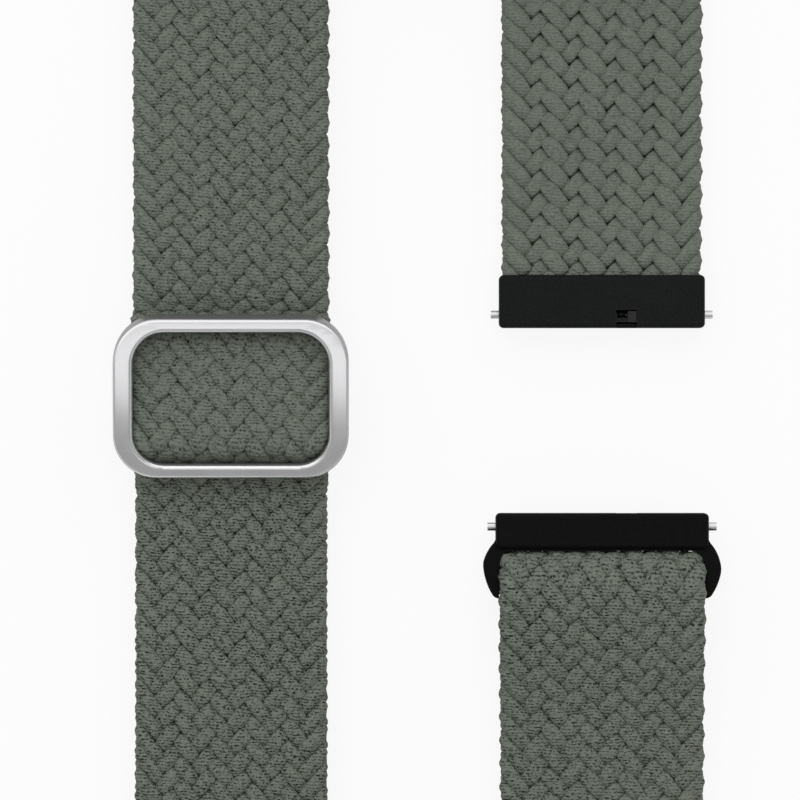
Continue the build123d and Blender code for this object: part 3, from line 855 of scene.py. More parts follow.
@dataclass(frozen=True)
class Braid:
    """A flat braid: every yarn goes over two and under two, and folds back at the edges.

    A yarn is first swept straight on, as if the band were wide without end. Its points are then folded back at
    each edge of the band, round an arc, so that it comes back on the other face. Sizes are in millimetres.

    half_rise is how far a yarn's middle line lies from the braid's. crown and corner shape its back and its
    section. snug_row is the pitch at which a yarn has its full size, and snug_share how far its size follows the
    pitch. edge_float slows the wave at the folds. bulge and slim are how much a yarn spreads at the edge, and how
    much slimmer the raised lay is. drift and swell are the waves in which a yarn strays to the side and changes
    its size.
    """

    yarns: int = 21
    column_step: float = 0.837
    edge_arc: float = 0.5
    yarn_width: float = 1.46
    yarn_thickness: float = 1.08
    half_rise: float = 0.5
    crown: float = 0.05
    corner: float = 3.4
    snug_row: float = 2.068
    edge_float: float = 0.33
    bulge: float = 0.30
    slim: float = 0.30
    snug_share: float = 0.8
    drift: tuple[Wave, ...] = ((0.05, 0.61, 2.4), (0.04, 1.37, 5.1))
    swell: tuple[Wave, ...] = ((0.035, 0.93, 3.7), (0.025, 2.3, 1.9))

    @property
    def flat_width(self) -> float:
        """Width of the braid as it is folded, before it is fitted to the band."""
        return 2.0 * (self.half_span - self.edge_arc * math.pi / 2 + self.edge_arc + self.yarn_thickness / 2)

    @property
    def half_span(self) -> float:
        """Distance across from the middle to where a yarn is half way round the edge, unfolded."""
        return self.yarns * self.column_step / 2

    def profile(self, points: int) -> bpy.types.Object:
        """The cross-section of a yarn, a curve for the bevel.

        Args:
            points: how many points it has.

        Returns:
            The curve's object.
        """
        curve = bpy.data.curves.new("yarn_section", "CURVE")
        curve.dimensions = "2D"
        line = curve.splines.new("POLY")
        line.points.add(points - 1)
        for index, point in enumerate(line.points):
            angle = -2.0 * math.pi * (index + 0.5) / points
            x, y = math.cos(angle), math.sin(angle)
            x = math.copysign(abs(x) ** (2.0 / self.corner), x) * self.yarn_width / 2
            y = math.copysign(abs(y) ** (2.0 / self.corner), y) * self.yarn_thickness / 2
            point.co = (x, y, 0.0, 1.0)
        line.use_cyclic_u = True
        return linked("yarn_section", curve)

    def beat(self, steps: np.ndarray) -> np.ndarray:
        """Angle of a yarn's wave at a number of rows from its last fold: it crosses two yarns before it dives."""
        return math.pi / 2 * np.where(steps < 1.5, (steps - 1.5) * self.edge_float, steps - 1.5)

    def rise(self, steps: np.ndarray) -> np.ndarray:
        """Height share of a yarn at a number of rows from its last fold: 1 over, -1 under.

        Args:
            steps: rows from the last fold.

        Returns:
            The share.
        """
        wave = math.sqrt(2.0) * np.cos(self.beat(steps))
        held = np.clip(wave, -1.0, 1.0)
        flat = held * (1.5 - 0.5 * held * held)
        return flat + self.crown * (wave - held) / (math.sqrt(2.0) - 1.0)

    @staticmethod
    def rhythm(waves: tuple[Wave, ...], number: int, rows: np.ndarray, still: float) -> np.ndarray:
        """A size that changes along a yarn in the yarn's own rhythm.

        Args:
            waves: the waves that it is made of.
            number: which yarn.
            rows: the rows of the lattice at which it is wanted.
            still: the size without the waves.

        Returns:
            The size at each row.
        """
        return sum((size * np.sin(rows * by_row + number * by_yarn) for size, by_row, by_yarn in waves), still)

    def girth(self, steps: np.ndarray, pinch: np.ndarray) -> np.ndarray:
        """Share of a yarn's full size at a number of rows from its last fold: it narrows where it dives."""
        dive = np.sin(self.beat(steps)) ** 2
        return 1.0 - pinch * dive ** 3

    def fold(self, number: int, rows: np.ndarray) -> np.ndarray:
        """Which fold of a yarn is nearest at each row; odd folds are at the far edge."""
        return np.round((rows - 2.0 * number) / self.yarns)

    def yarn(self, number: int, rows: np.ndarray, proud: np.ndarray, pinch: np.ndarray
             ) -> tuple[np.ndarray, np.ndarray, np.ndarray]:
        """The middle line of one yarn before it is folded.

        Args:
            number: which yarn.
            rows: the rows of the lattice at which it is wanted.
            proud: how far the lay that falls to the right stands out of the outer face, in millimetres.
            pinch: share by which a yarn narrows where it dives.

        Returns:
            Distance across, height, both in millimetres, and the yarn's size as a share of the full one.
        """
        phase = rows - 2.0 * number
        fold = self.fold(number, rows)
        side = 1.0 - 2.0 * np.mod(fold, 2.0)
        steps = np.abs(phase - self.yarns * fold)
        lift = proud * ease(steps / 2.0)
        lay = side * np.sign(phase - self.yarns * fold)
        size = self.girth(steps, pinch) * (1.0 + self.slim * lift * lay)
        return self.column_step * phase, side * self.rise(steps) * self.half_rise - lift, size

    def folded(self, points: np.ndarray, fold: np.ndarray, aside: np.ndarray) -> np.ndarray:
        """Folds swept points back at the edges, and lets each yarn bulge there.

        Args:
            points: distance across, travel and height of each point, unfolded.
            fold: the nearest fold of each point's yarn.
            aside: how far each point lies from its yarn's middle line, in the band's plane.

        Returns:
            Distance across, travel and height of each point of the flat braid.
        """
        beyond = points[:, 0] - self.yarns * self.column_step * fold
        side = 1.0 - 2.0 * np.mod(fold, 2.0)
        reach = self.edge_arc * math.pi / 2
        turn = np.clip(beyond / self.edge_arc, -math.pi / 2, math.pi / 2)
        near = 1.0 - ease((np.abs(beyond) - reach) / (2.0 * reach))
        radial = side * points[:, 2]
        radial = radial - self.bulge * near * (aside / (self.yarn_width / 2)) ** 2 * (radial > 0.0)
        outward = self.half_span - reach + radial * np.cos(turn) - np.maximum(np.abs(beyond) - reach, 0.0)
        return np.stack((-side * outward, points[:, 1], radial * np.sin(turn)), axis=1)


class Band:
    """The whole band: one flat braid, in lengths tied to their own body, or baked in place where they would bend."""

    settle: float = 1.6             # how far from a cut, in millimetres, a length has its own measures
    lattice_margin: float = 3.0     # how far the lattice goes on past both ends
    lattice_steps: int = 20000

    def __init__(self) -> None:
        """Lays out the way from the glued end to the sewn end."""
        self.braid = Braid()
        self.lengths: list[Length] = []
        self.lay_left_and_top()
        self.lay_right_and_under()

    def lay_left_and_top(self) -> None:
        """From the glued end round the top turn and down the left side."""
        band, slider = Follow("band"), Follow("slider")
        flex = Follow("band", "fixed_connector", metres(RIGHT_X, FLEX_START, FIXED_Z),
                      metres(RIGHT_X, FLEX_END, FIXED_Z))
        above = slider_line(STRAIGHT_END, HUMP_TOP)
        through = slider_line(HUMP_TOP, HUMP_BOTTOM)
        below = slider_line(HUMP_BOTTOM, -STRAIGHT_END)
        self.add(("band_fixed_end",), level(RIGHT_X, FIXED_Z, GLUED_END_Y, FLEX_END), flex, Quality.SHOWN,
                 GLUED_END, GLUED_END)
        self.add(("band_flex_zone", "band_fixed_run"), level(RIGHT_X, FIXED_Z, FLEX_END, STRAIGHT_END), flex,
                 Quality.SHOWN, GLUED_END, FIXED_RUN)
        self.add(("band_top_turn",), Turn(FIXED_Z, UPPER_Z, False, True, 0.0), band, Quality.ROUND_THE_TURN,
                 FIXED_RUN, UPPER_RUN)
        self.add(("band_upper_run", "band_upper_slide_zone"), SideStretch(LEFT_X, above),
                 self.slide(STRAIGHT_END, HUMP_TOP, UPPER_Z), Quality.SHOWN, UPPER_RUN, UPPER_RUN)
        self.add(("band_slider_hump",), SideStretch(LEFT_X, through), slider, Quality.SHOWN, IN_SLIDER, IN_SLIDER)
        self.add(("band_lower_run", "band_lower_slide_zone"), SideStretch(LEFT_X, below),
                 self.slide(-STRAIGHT_END, HUMP_BOTTOM, UPPER_Z), Quality.SHOWN, LOWER_RUN, LOWER_RUN)
        self.add(("band_bottom_turn",), Turn(LOWER_Z, UPPER_Z, True, False, 0.0), band, Quality.ROUND_THE_TURN,
                 LOWER_RUN, HIDDEN_BRAID)

    def lay_right_and_under(self) -> None:
        """From the bottom turn round the crossbar, back, and under the left side to the sewn end."""
        band, slider = Follow("band"), Follow("slider")
        hidden = Quality.HIDDEN, HIDDEN_BRAID, HIDDEN_BRAID
        self.add(("band_loop_outer_run",), level(RIGHT_X, LOWER_Z, -STRAIGHT_END, CROSSBAR_Y), band, *hidden)
        fold = chained(arc((CROSSBAR_Y, UPPER_Z), CROSSBAR_FOLD, -90.0, 90.0), return_line(CROSSBAR_Y, -STRAIGHT_END))
        self.add(("band_loop_fold", "band_loop_return_run"), SideStretch(RIGHT_X, fold), band, Quality.SHOWN,
                 CROSSBAR_FACE, RETURN_RUN)
        self.add(("band_bottom_return_turn",), Turn(LOWER_Z, UPPER_Z, True, True, LAYER_STEP), band,
                 Quality.ROUND_THE_TURN, RETURN_RUN, HIDDEN_BRAID)
        self.add(("band_return_run", "band_return_slide_zone"), level(LEFT_X, LOWER_Z, -STRAIGHT_END, HUMP_BOTTOM),
                 self.slide(-STRAIGHT_END, HUMP_BOTTOM, LOWER_Z), *hidden)
        self.add(("band_bar_fold",), SideStretch(LEFT_X, bar_fold_line(), 1.0, SEWN_THICKNESS), slider, *hidden)

    @staticmethod
    def slide(still: float, carried: float, z: float) -> Follow:
        """The bend from the band, at one Y, to the slider, at another."""
        return Follow("band", "slider", metres(LEFT_X, still, z), metres(LEFT_X, carried, z))

    def add(self, nodes: tuple[str, ...], stretch: Stretch, follow: Follow, quality: Quality, begins: Measure,
            ends: Measure) -> None:
        """Adds a length after the last one."""
        start = self.lengths[-1].end if self.lengths else 0.0
        self.lengths.append(Length(nodes, stretch, follow, quality, begins, ends, start))

    def measured(self, travel: np.ndarray, part: str) -> np.ndarray:
        """One of the braid's sizes along the band.

        Args:
            travel: distances from the glued end.
            part: the name of the size.

        Returns:
            The size at each distance.
        """
        at: list[float] = []
        value: list[float] = []
        for length in self.lengths:
            settle = min(self.settle, length.stretch.length / 2)
            at += [length.start + settle, length.end - settle]
            value += [getattr(length.begins, part), getattr(length.ends, part)]
        return np.interp(travel, at, value)

    def rows(self) -> tuple[np.ndarray, np.ndarray]:
        """The lattice's rows along the band.

        Returns:
            Distances along the band, and the row at each.
        """
        margin = self.lattice_margin
        travel = np.linspace(-margin, self.lengths[-1].end + margin, self.lattice_steps)
        half_row = self.measured(travel, "row") / 2
        step = np.diff(travel) * 0.5 * (1.0 / half_row[1:] + 1.0 / half_row[:-1])
        return travel, np.concatenate(([0.0], np.cumsum(step)))

    def placed(self, across: np.ndarray, travel: np.ndarray, height: np.ndarray) -> np.ndarray:
        """Flat points of the whole band, laid in space, in metres.

        Args:
            across: distance from the band's middle, in millimetres.
            travel: distance from the band's glued end.
            height: distance above the braid's middle, on its outer face's side.

        Returns:
            The points, one to a row.
        """
        points = np.zeros((len(travel), 3))
        last = len(self.lengths) - 1
        for index, length in enumerate(self.lengths):
            low = -math.inf if index == 0 else length.start
            high = math.inf if index == last else length.end
            here = (travel >= low) & (travel < high)
            if here.any():
                points[here] = length.stretch.place(across[here], travel[here] - length.start, height[here])
        return points * MM

    def build(self) -> None:
        """Builds and dresses every length."""
        travel, rows = self.rows()
        sections = {quality: self.braid.profile(quality.value[1]) for quality in Quality}
        for length in self.lengths:
            piece = self.piece(length, travel, rows, sections[length.quality])
            BAND_YARN.dress(piece)
            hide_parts(*length.nodes)
            length.follow.apply(piece)
            LOG.info("%s: %d faces", piece.name, len(piece.data.polygons))
        for section in sections.values():
            bpy.data.objects.remove(section)

    def piece(self, length: Length, travel: np.ndarray, rows: np.ndarray, section: bpy.types.Object
              ) -> bpy.types.Object:
        """One length of braid.

        Args:
            length: which length.
            travel: distances along the band.
            rows: the lattice's row at each distance.
            section: the yarn's cross-section.

        Returns:
            The piece, laid in space.
        """
        per_step, around = length.quality.value
        first, last = np.interp((length.start, length.end), travel, rows)
        count = max(3, int(round((last - first) * per_step)) + 1)
        row = np.linspace(first, last, count)
        along = np.interp(row, rows, travel)
        proud, pinch = self.measured(along, "proud"), self.measured(along, "pinch")
        snug = (self.measured(along, "row") / self.braid.snug_row) ** self.braid.snug_share
        curve = new_curve("yarns")
        curve.twist_mode = "Z_UP"
        curve.bevel_mode = "OBJECT"
        curve.bevel_object = section
        folds = []
        for number in range(self.braid.yarns):
            across, height, girth = self.braid.yarn(number, row, proud, pinch)
            folds.append(self.braid.fold(number, row))
            drift = self.braid.rhythm(self.braid.drift, number, row, 0.0)
            swell = self.braid.rhythm(self.braid.swell, number, row, 1.0)
            line = curve.splines.new("POLY")
            line.points.add(count - 1)
            flat = np.stack((across + drift, along, height, np.ones(count)), axis=1)
            line.points.foreach_set("co", flat.ravel())
            line.points.foreach_set("radius", swell * snug * girth)
        piece = swept("braid_" + length.nodes[0].removeprefix("band_"), curve)
        self.lay_out(piece.data, np.concatenate(folds), count, around)
        return piece

    def lay_out(self, mesh: bpy.types.Mesh, folds: np.ndarray, count: int, around: int) -> None:
        """Folds a swept braid, records its flat places, closes its yarns and lays it in space.

        Args:
            mesh: the swept yarns, in millimetres.
            folds: the nearest fold of each ring's yarn.
            count: how many rings each yarn has.
            around: how many points each ring has.
        """
        points = np.zeros(len(mesh.vertices) * 3, np.float32)
        mesh.vertices.foreach_get("co", points)
        rings = points.reshape(-1, around, 3).astype(float)
        aside = np.linalg.norm((rings - rings.mean(axis=1, keepdims=True))[:, :, :2], axis=2)
        flat = self.braid.folded(rings.reshape(-1, 3), np.repeat(folds, around), aside.ravel())
        mesh.attributes.new("lay", "FLOAT_VECTOR", "POINT").data.foreach_set("vector", points)
        kept = {"yarn": np.arange(len(flat)) // (count * around), "contrast": self.measured(flat[:, 1], "contrast")}
        for name, values in kept.items():
            mesh.attributes.new(name, "FLOAT", "POINT").data.foreach_set("value", values.astype(np.float32))
        width = self.measured(flat[:, 1], "width") / self.braid.flat_width
        thick = self.measured(flat[:, 1], "thickness") / 2.0
        along = flat[:, 1] + flat[:, 0] * self.measured(flat[:, 1], "slope")
        laid = self.placed(flat[:, 0] * width, along, flat[:, 2] * thick)
        mesh.vertices.foreach_set("co", laid.astype(np.float32).ravel())
        body = bmesh.new()
        body.from_mesh(mesh)
        open_edges = [edge for edge in body.edges if edge.is_boundary]
        bmesh.ops.holes_fill(body, edges=open_edges, sides=0)
        bmesh.ops.recalc_face_normals(body, faces=body.faces)
        for face in body.faces:
            face.smooth = len(face.verts) == 4
        body.to_mesh(mesh)
        body.free()


# ---------------------------------------------------------------- the hard parts


def finished_piece(name: str, body: bmesh.types.BMesh, place: Matrix, smooth_below: float = 40.0
                   ) -> bpy.types.Object:
    """Turns a bmesh in millimetres into a piece at the origin, with its place in its mesh.

    Args:
        name: the piece's name.
        body: the shape; it is freed.
        place: where it goes, in millimetres.
        smooth_below: edges flatter than this angle, in degrees, are shaded smooth.

    Returns:
        The piece.
    """
    bmesh.ops.transform(body, matrix=Matrix.Scale(MM, 4) @ place, verts=body.verts)
    bmesh.ops.remove_doubles(body, verts=body.verts, dist=0.000002)
    bmesh.ops.recalc_face_normals(body, faces=body.faces)
    for face in body.faces:
        face.smooth = True
    for edge in body.edges:
        edge.smooth = len(edge.link_faces) == 2 and edge.calc_face_angle(0.0) < math.radians(smooth_below)
    mesh = bpy.data.meshes.new(name)
    body.to_mesh(mesh)
    body.free()
    return linked(name, mesh)


def rounded(body: bmesh.types.BMesh, parts: list, radius: float, segments: int, affect: str = "EDGES",
            clamp: bool = False) -> None:
    """Rounds edges, or the corners of a flat face.

    Args:
        body: the bmesh.
        parts: the edges or vertices.
        radius: how far the rounding reaches.
        segments: faces round each.
        affect: "EDGES", or "VERTICES" for corners.
        clamp: whether roundings stop where they meet.
    """
    bmesh.ops.bevel(body, geom=parts, offset=radius, offset_type="OFFSET", segments=segments, profile=0.5,
                    affect=affect, clamp_overlap=clamp, material=-1)


def thickened(body: bmesh.types.BMesh, height: float) -> None:
    """Makes a flat shape thick, upwards.

    Args:
        body: the flat shape.
        height: its thickness.
    """
    raised = bmesh.ops.extrude_face_region(body, geom=body.faces[:])["geom"]
    bmesh.ops.translate(body, vec=(0.0, 0.0, height),
                        verts=[part for part in raised if isinstance(part, bmesh.types.BMVert)])
    bmesh.ops.recalc_face_normals(body, faces=body.faces)


@dataclass(frozen=True)
class SliderRing:
    """The slider's frame: a rounded ring bowed over the band, on two cheeks that hold the bar.

    Sizes are in millimetres. drop is how far the ring lies towards its lower side, bow the radius of its curve, and
    the two flares are how far its lower edge stands out at the sides and at the upper bar. cuts part the ring
    across, so that it can bow. The ring is shaped flat, lifted above the bar, tilted, and set at the bar.
    outer_wall_shade and inner_wall_shade say how steep a surface is before painted wall shade starts on it, as Z of
    its normal, and how much further that falls until the painted shade is full. cheek_shade is how much painted shade
    the cheeks have.
    """

    outside: tuple[float, float] = (21.78, 14.90)
    window: tuple[float, float] = (18.12, 12.32)
    drop: float = 0.07
    corner: float = 4.1
    window_corner: float = 2.9
    corner_steps: int = 14
    bow: float = 30.0
    thickness: float = 1.75
    outer_edge: float = 0.25
    inner_edge: float = 0.45
    under_edge: float = 0.20
    flare_side: float = 0.02
    flare_top: float = 0.27
    tilt: float = 8.0
    cut_reach: float = 7.0
    cut_step: float = 0.5
    centre_bar: Place = (LEFT_X + 0.07, SLIDER_Y, 2.85)
    above_bar: Place = (0.0, 0.5, 3.85)
    cheek: Place = (1.60, 5.0, 5.8)
    cheek_place: tuple[float, float] = (10.08, 1.95)
    cheek_edge: float = 0.35
    cheek_shade: float = 0.6
    outer_wall_shade: tuple[float, float] = (0.85, 0.60)
    inner_wall_shade: tuple[float, float] = (0.45, 0.30)

    def flat_ring(self, body: bmesh.types.BMesh) -> None:
        """Starts the bmesh with a flat ring, from a rounded rectangle to the window's.

        Args:
            body: the empty bmesh.
        """
        for size, corner in ((self.outside, self.corner), (self.window, self.window_corner)):
            made = bmesh.ops.create_grid(body, x_segments=1, y_segments=1, size=0.5)["verts"]
            bmesh.ops.scale(body, vec=(*size, 1.0), verts=made)
            bmesh.ops.translate(body, vec=(0.0, -self.drop, 0.0), verts=made)
            rounded(body, made, corner, self.corner_steps, "VERTICES")
        bmesh.ops.delete(body, geom=body.faces[:], context="FACES_ONLY")
        bmesh.ops.bridge_loops(body, edges=body.edges[:])

    def rims(self, body: bmesh.types.BMesh, top: bool, outer: bool) -> list[bmesh.types.BMEdge]:
        """The sharp edges along one rim of the thick ring.

        Args:
            body: the ring, before its edges are rounded.
            top: True for the upper side.
            outer: True for the outer wall.

        Returns:
            The edges.
        """
        rim_z = self.thickness if top else 0.0
        found = []
        for edge in body.edges:
            walls = [face for face in edge.link_faces if abs(face.normal.z) < 0.5]
            if len(walls) == 1 and all(abs(vert.co.z - rim_z) < 0.01 for vert in edge.verts):
                centre = walls[0].calc_center_median()
                facing = walls[0].normal.x * centre.x + walls[0].normal.y * centre.y
                if (facing > 0.0) == outer:
                    found.append(edge)
        return found

    def thick_ring(self, body: bmesh.types.BMesh) -> None:
        """Makes the flat ring thick, flares its walls, rounds its rims and parts it across.

        Args:
            body: the flat ring.
        """
        thickened(body, self.thickness)
        for vert in {vert for edge in self.rims(body, False, True) for vert in edge.verts}:
            vert.co.x += self.flare_side * math.copysign(min(1.0, abs(vert.co.x) / 8.0), vert.co.x)
            vert.co.y += self.flare_top * max(0.0, vert.co.y) / self.outside[1] * 2.0
        rounding = ((True, True, self.outer_edge, 5), (True, False, self.inner_edge, 4),
                    (False, True, self.under_edge, 3), (False, False, self.under_edge, 3))
        for top, outer, radius, segments in rounding:
            rounded(body, self.rims(body, top, outer), radius, segments)
        for cut in np.arange(-self.cut_reach, self.cut_reach + 0.01, self.cut_step):
            bmesh.ops.bisect_plane(body, geom=body.verts[:] + body.edges[:] + body.faces[:], dist=0.001,
                                   plane_co=(0.0, float(cut), 0.0), plane_no=(0.0, 1.0, 0.0))

    def add_cheeks(self, body: bmesh.types.BMesh, wall: bmesh.types.BMLayerItem) -> None:
        """Adds the two cheeks, with painted shade as on part of a wall.

        Args:
            body: the ring.
            wall: the layer that says how much painted wall shade each vertex has.
        """
        ring = set(body.verts)
        for side in (-1.0, 1.0):
            made = bmesh.ops.create_cube(body, size=1.0)["verts"]
            bmesh.ops.scale(body, vec=self.cheek, verts=made)
            bmesh.ops.translate(body, vec=(side * self.cheek_place[0], 0.0, self.cheek_place[1]), verts=made)
            edges = dict.fromkeys(edge for vert in made for edge in vert.link_edges)
            rounded(body, list(edges), self.cheek_edge, 4)
        for vert in set(body.verts) - ring:
            vert[wall] = self.cheek_shade

    def build(self) -> bpy.types.Object:
        """Builds, dresses and places the frame.

        Returns:
            The piece.
        """
        body = bmesh.new()
        self.flat_ring(body)
        self.thick_ring(body)
        body.normal_update()
        # Painted wall shade: each vertex gets a share by how steep it is, outside and in the window; the same loop
        # bows the ring.
        wall = body.verts.layers.float.new("painted_wall_shade")
        for vert in body.verts:
            outward = vert.normal.x * vert.co.x + vert.normal.y * vert.co.y > 0.0
            begins, fall = self.outer_wall_shade if outward else self.inner_wall_shade
            vert[wall] = min(1.0, max(0.0, (begins - vert.normal.z) / fall))
            vert.co.z = math.sqrt((self.bow + vert.co.z) ** 2 - vert.co.y ** 2) - self.bow
        bmesh.ops.translate(body, vec=self.above_bar, verts=body.verts)
        self.add_cheeks(body, wall)
        place = Matrix.Translation(self.centre_bar) @ Matrix.Rotation(math.radians(self.tilt), 4, "X")
        piece = SLIDER_METAL.dress(finished_piece("slider_ring", body, place))
        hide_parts("slider_frame")
        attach(piece, "slider")
        return piece


@dataclass(frozen=True)
class LoopEars:
    """The loop connector's ears, which close round the band's folded corners.

    half is one half of their outline from above: X, Y and the radius of each corner.
    """

    half: tuple[Place, ...] = (
        (9.80, -12.20, 0.1), (9.88, -13.10, 0.35), (11.04, -14.40, 1.3), (11.06, -16.80, 1.5), (9.98, -18.42, 0.35),
        (9.58, -18.42, 0.1), (9.58, -14.02, 1.2))
    levels: tuple[float, float] = (1.76, 4.44)
    edge: float = 0.38

    def build(self) -> bpy.types.Object:
        """Builds, dresses and places the ears.

        Returns:
            The piece.
        """
        body = bmesh.new()
        way = [*self.half, *((-x, y, radius) for x, y, radius in reversed(self.half))]
        corners = [body.verts.new((x, y, 0.0)) for x, y, _ in way]
        body.faces.new(corners)
        for corner, (_, _, radius) in zip(corners, way):
            rounded(body, [corner], radius, 8, "VERTICES")
        thickened(body, self.levels[1] - self.levels[0])
        sharp = [edge for edge in body.edges if edge.calc_face_angle(0.0) > math.radians(60.0)]
        rounded(body, sharp, self.edge, 4, clamp=True)
        place = Matrix.Translation((RIGHT_X, 0.0, self.levels[0]))
        piece = LOOP_BLACK.dress(finished_piece("loop_connector_ears", body, place))
        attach(piece, "loop_connector")
        return piece


@dataclass(frozen=True)
class TailStitches:
    """The row of closed stitches that holds the band's folded end."""

    count: int = 8
    spacing: float = 2.1
    length: float = 1.5
    thread: float = 0.25
    sink: float = 0.3

    def build(self) -> bpy.types.Object:
        """Builds, dresses and places the stitches.

        Returns:
            The piece.
        """
        low, high = (Vector(corner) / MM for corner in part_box("tail_stitching"))
        curve = new_curve("stitch_thread", self.thread, 2)
        curve.resolution_u = 4
        middle, reach = (low.y + high.y) / 2, self.length / 2
        under, over = low.z + self.sink, high.z - self.sink
        for number in range(self.count):
            x = LEFT_X + (number - (self.count - 1) / 2) * self.spacing
            lean = 0.08 * math.sin(number * 2.7)
            ring = ((x - lean, middle - reach, under), (x, middle, low.z + self.thread / 2),
                    (x + lean, middle + reach, under), (x + lean, middle + reach, over),
                    (x, middle, high.z - self.thread / 2), (x - lean, middle - reach, over))
            line = curve.splines.new("NURBS")
            line.points.add(len(ring) - 1)
            for point, spot in zip(line.points, ring):
                point.co = (*metres(*spot), 1.0)
            line.use_cyclic_u = True
            line.order_u = 3
        piece = SEWING_THREAD.dress(swept("tail_stitches", curve))
        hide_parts("tail_stitching")
        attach(piece, "slider")
        return piece


@dataclass(frozen=True)
class ReleaseSpring:
    """The coil spring in a spring bar, built at its full length; the real one shortens as the lever draws the pin
    back.
    """

    bar: str
    body: str
    turns: int = 10
    steps: int = 14
    wire: float = 0.16
    travel: float = 1.05

    def build(self) -> bpy.types.Object:
        """Builds, dresses and places the spring.

        Returns:
            The piece.
        """
        node = self.bar + "_spring"
        low, high = (Vector(corner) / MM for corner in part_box(node))
        middle, radius = (low + high) / 2, (high.z - low.z - self.wire) / 2
        curve = new_curve("coil_wire", self.wire, 1)
        curve.use_fill_caps = True
        line = curve.splines.new("POLY")
        line.points.add(self.turns * self.steps)
        for number, point in enumerate(line.points):
            angle = 2.0 * math.pi * number / self.steps
            share = number / (self.turns * self.steps)
            x = low.x + self.wire / 2 + share * (high.x - low.x - self.wire)
            point.co = (*metres(x, middle.y + radius * math.sin(angle), middle.z + radius * math.cos(angle)), 1.0)
        piece = BLACKED_COIL.dress(swept(self.bar + "_coil", curve))
        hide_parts(node)
        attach(piece, self.body)
        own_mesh(piece)
        return piece


@dataclass
class Hardware:
    """The metal and moulded parts, made here or kept as their solids."""

    finishes: dict[str, Finish] = field(default_factory=lambda: {
        "slider_centre_bar": SLIDER_BAR_STEEL,
        "fixed_connector": FIXED_BLACK,
        "loop_connector": LOOP_BLACK,
    })

    def build(self) -> None:
        """Builds the made parts, then dresses each solid that is left."""
        springs = ReleaseSpring("fixed_bar", "fixed_connector"), ReleaseSpring("loop_bar", "loop_connector")
        for part in (SliderRing(), LoopEars(), TailStitches(), *springs):
            LOG.info("%s: made", part.build().name)
        for name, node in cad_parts.items():
            if node.hide_render:
                continue
            finish = self.finishes.get(name)
            if finish is None:
                finish = PIN_STEEL if "tip" in name else BLACKED_STEEL
            finish.dress(node)
            LOG.info("%s: %s", name, finish.name)


# ---------------------------------------------------------------- the studio


@dataclass(frozen=True)
class SoftBox:
    """A rectangular lamp: its place and sides in metres, its power in watts, and the point it faces."""

    name: str
    place: Place
    size: tuple[float, float]
    power: float
    target: Place = (0.0, 0.0, 0.0)

    def hang(self) -> None:
        """Hangs the lamp, unseen by the camera."""
        light = bpy.data.lights.new(self.name, "AREA")
        light.shape = "RECTANGLE"
        light.size, light.size_y = self.size
        light.energy = self.power
        lamp = linked(self.name, light)
        lamp.location = self.place
        lamp.rotation_euler = (Vector(self.target) - Vector(self.place)).to_track_quat("-Z", "Y").to_euler()
        lamp.visible_camera = False


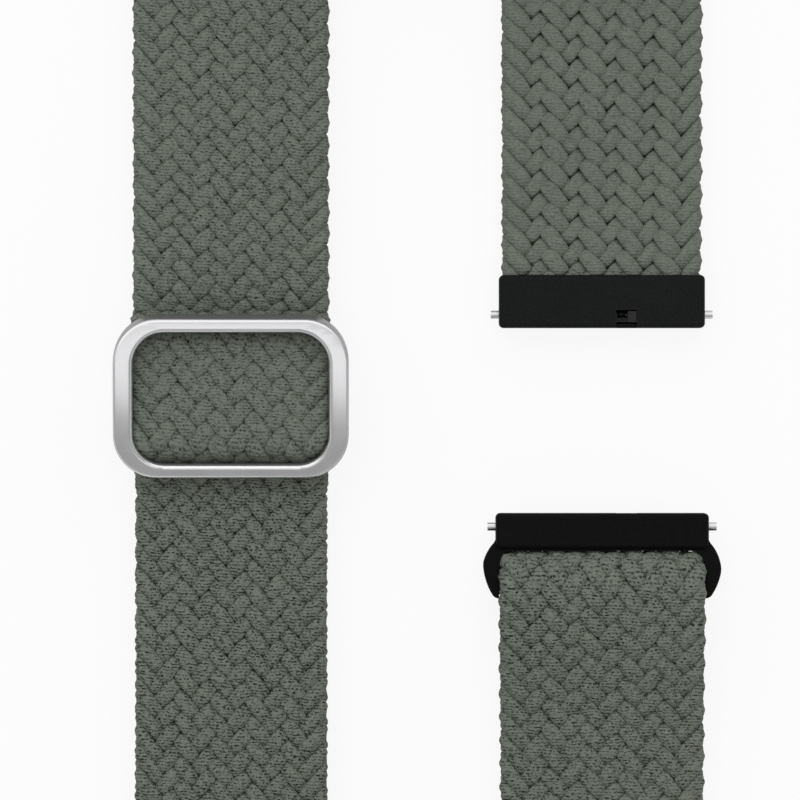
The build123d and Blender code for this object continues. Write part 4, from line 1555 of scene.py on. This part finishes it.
@dataclass(frozen=True)
class Studio:
    """Floor, light and camera.

    view_x, view_width, view_z and floor_z are in millimetres. The picture is view_width wide at the level view_z.
    distance, from there up to the camera, and floor_reach are in metres.
    floor_white is how much of its white the floor shows to the camera and to metal. even_light is the strength of
    the surround as light, and metal_dims how much less of it metal sees.
    """

    view_x: float = -1.53
    view_width: float = 74.4
    view_z: float = 3.0
    distance: float = 0.8
    sensor: float = 36.0
    floor_z: float = -0.3
    floor_reach: float = 3.0
    floor_tone: float = 0.92
    floor_white: float = 0.88
    even_light: float = 0.52
    metal_dims: float = 0.10
    lamps: tuple[SoftBox, ...] = (
        SoftBox("key_soft_box", (-0.10, 0.42, 0.50), (1.20, 0.55), 2.5),
        SoftBox("top_soft_box", (-0.02, -0.045, 0.62), (0.60, 0.30), 0.50, (-0.017, 0.0, 0.0)),
        SoftBox("fill_soft_box", (0.15, -0.64, 0.22), (0.5, 0.4), 0.2),
    )

    def floor(self) -> None:
        """A plain pale floor that shows white and keeps the object's shadow."""
        mesh = bpy.data.meshes.new("floor")
        body = bmesh.new()
        bmesh.ops.create_grid(body, x_segments=1, y_segments=1, size=self.floor_reach)
        body.to_mesh(mesh)
        body.free()
        mesh.transform(Matrix.Translation(metres(0.0, 0.0, self.floor_z)))
        material = bpy.data.materials.new("pale_floor")
        material.use_nodes = True
        board = NodeBoard(material.node_tree)
        shader = material.node_tree.nodes["Principled BSDF"]
        shader.inputs["Base Color"].default_value = (self.floor_tone,) * 3 + (1.0,)
        board.fix(shader, Roughness=0.9, Specular_IOR_Level=0.1)
        glow = board.put("ShaderNodeEmission", in_Strength=1.0)
        seen = board.put("ShaderNodeLightPath")
        shown = board.calc("MAXIMUM", seen.outputs["Is Camera Ray"], seen.outputs["Is Glossy Ray"])
        shown = board.calc("MAXIMUM", shown, seen.outputs["Is Transmission Ray"])
        share = board.calc("MULTIPLY", shown, self.floor_white)
        mixed = board.put("ShaderNodeMixShader", in_0=share, in_1=shader.outputs[0], in_2=glow.outputs[0])
        board.feed(material.node_tree.nodes["Material Output"].inputs[0], mixed.outputs[0])
        mesh.materials.append(material)
        linked("floor", mesh)

    def world(self) -> None:
        """Even light from all round, and a white surround for the camera and for metal."""
        world = bpy.data.worlds.new("surround")
        bpy.context.scene.world = world
        world.use_nodes = True
        board = NodeBoard(world.node_tree)
        seen = board.put("ShaderNodeLightPath")
        back = world.node_tree.nodes["Background"]
        back.inputs["Color"].default_value = (1.0, 1.0, 1.0, 1.0)
        way = board.put("ShaderNodeSeparateXYZ", in_0=board.put("ShaderNodeTexCoord").outputs["Generated"])
        low = board.ramp(way.outputs[2], 0.15, 0.50, 1.0, 0.0)
        gloss = board.calc("MAXIMUM", seen.outputs["Is Glossy Ray"], seen.outputs["Is Transmission Ray"])
        shown = board.calc("MAXIMUM", seen.outputs["Is Camera Ray"], board.calc("MULTIPLY", gloss, low))
        plain = board.calc("MULTIPLY_ADD", gloss, -self.metal_dims, self.even_light)
        rest = board.calc("SUBTRACT", 1.0, plain)
        board.feed(back.inputs["Strength"], board.calc("MULTIPLY_ADD", shown, rest, plain))

    def camera(self) -> None:
        """A long lens, straight down."""
        lens = bpy.data.cameras.new("camera")
        lens.sensor_width = self.sensor
        lens.lens = self.sensor * self.distance / (self.view_width * MM)
        camera = linked("camera", lens)
        camera.location = (self.view_x * MM, 0.0, self.distance + self.view_z * MM)
        bpy.context.scene.camera = camera

    def build(self) -> None:
        """Sets up the floor, the light and the camera."""
        self.floor()
        self.world()
        for lamp in self.lamps:
            lamp.hang()
        self.camera()
        bpy.context.scene.view_settings.view_transform = "Standard"


def main() -> None:
    """Builds the dressed model and its studio."""
    logging.basicConfig(level=logging.INFO, format="%(message)s")
    Studio().build()
    Band().build()
    Hardware().build()
    bpy.context.view_layer.update()


if __name__ == "__main__":
    main()
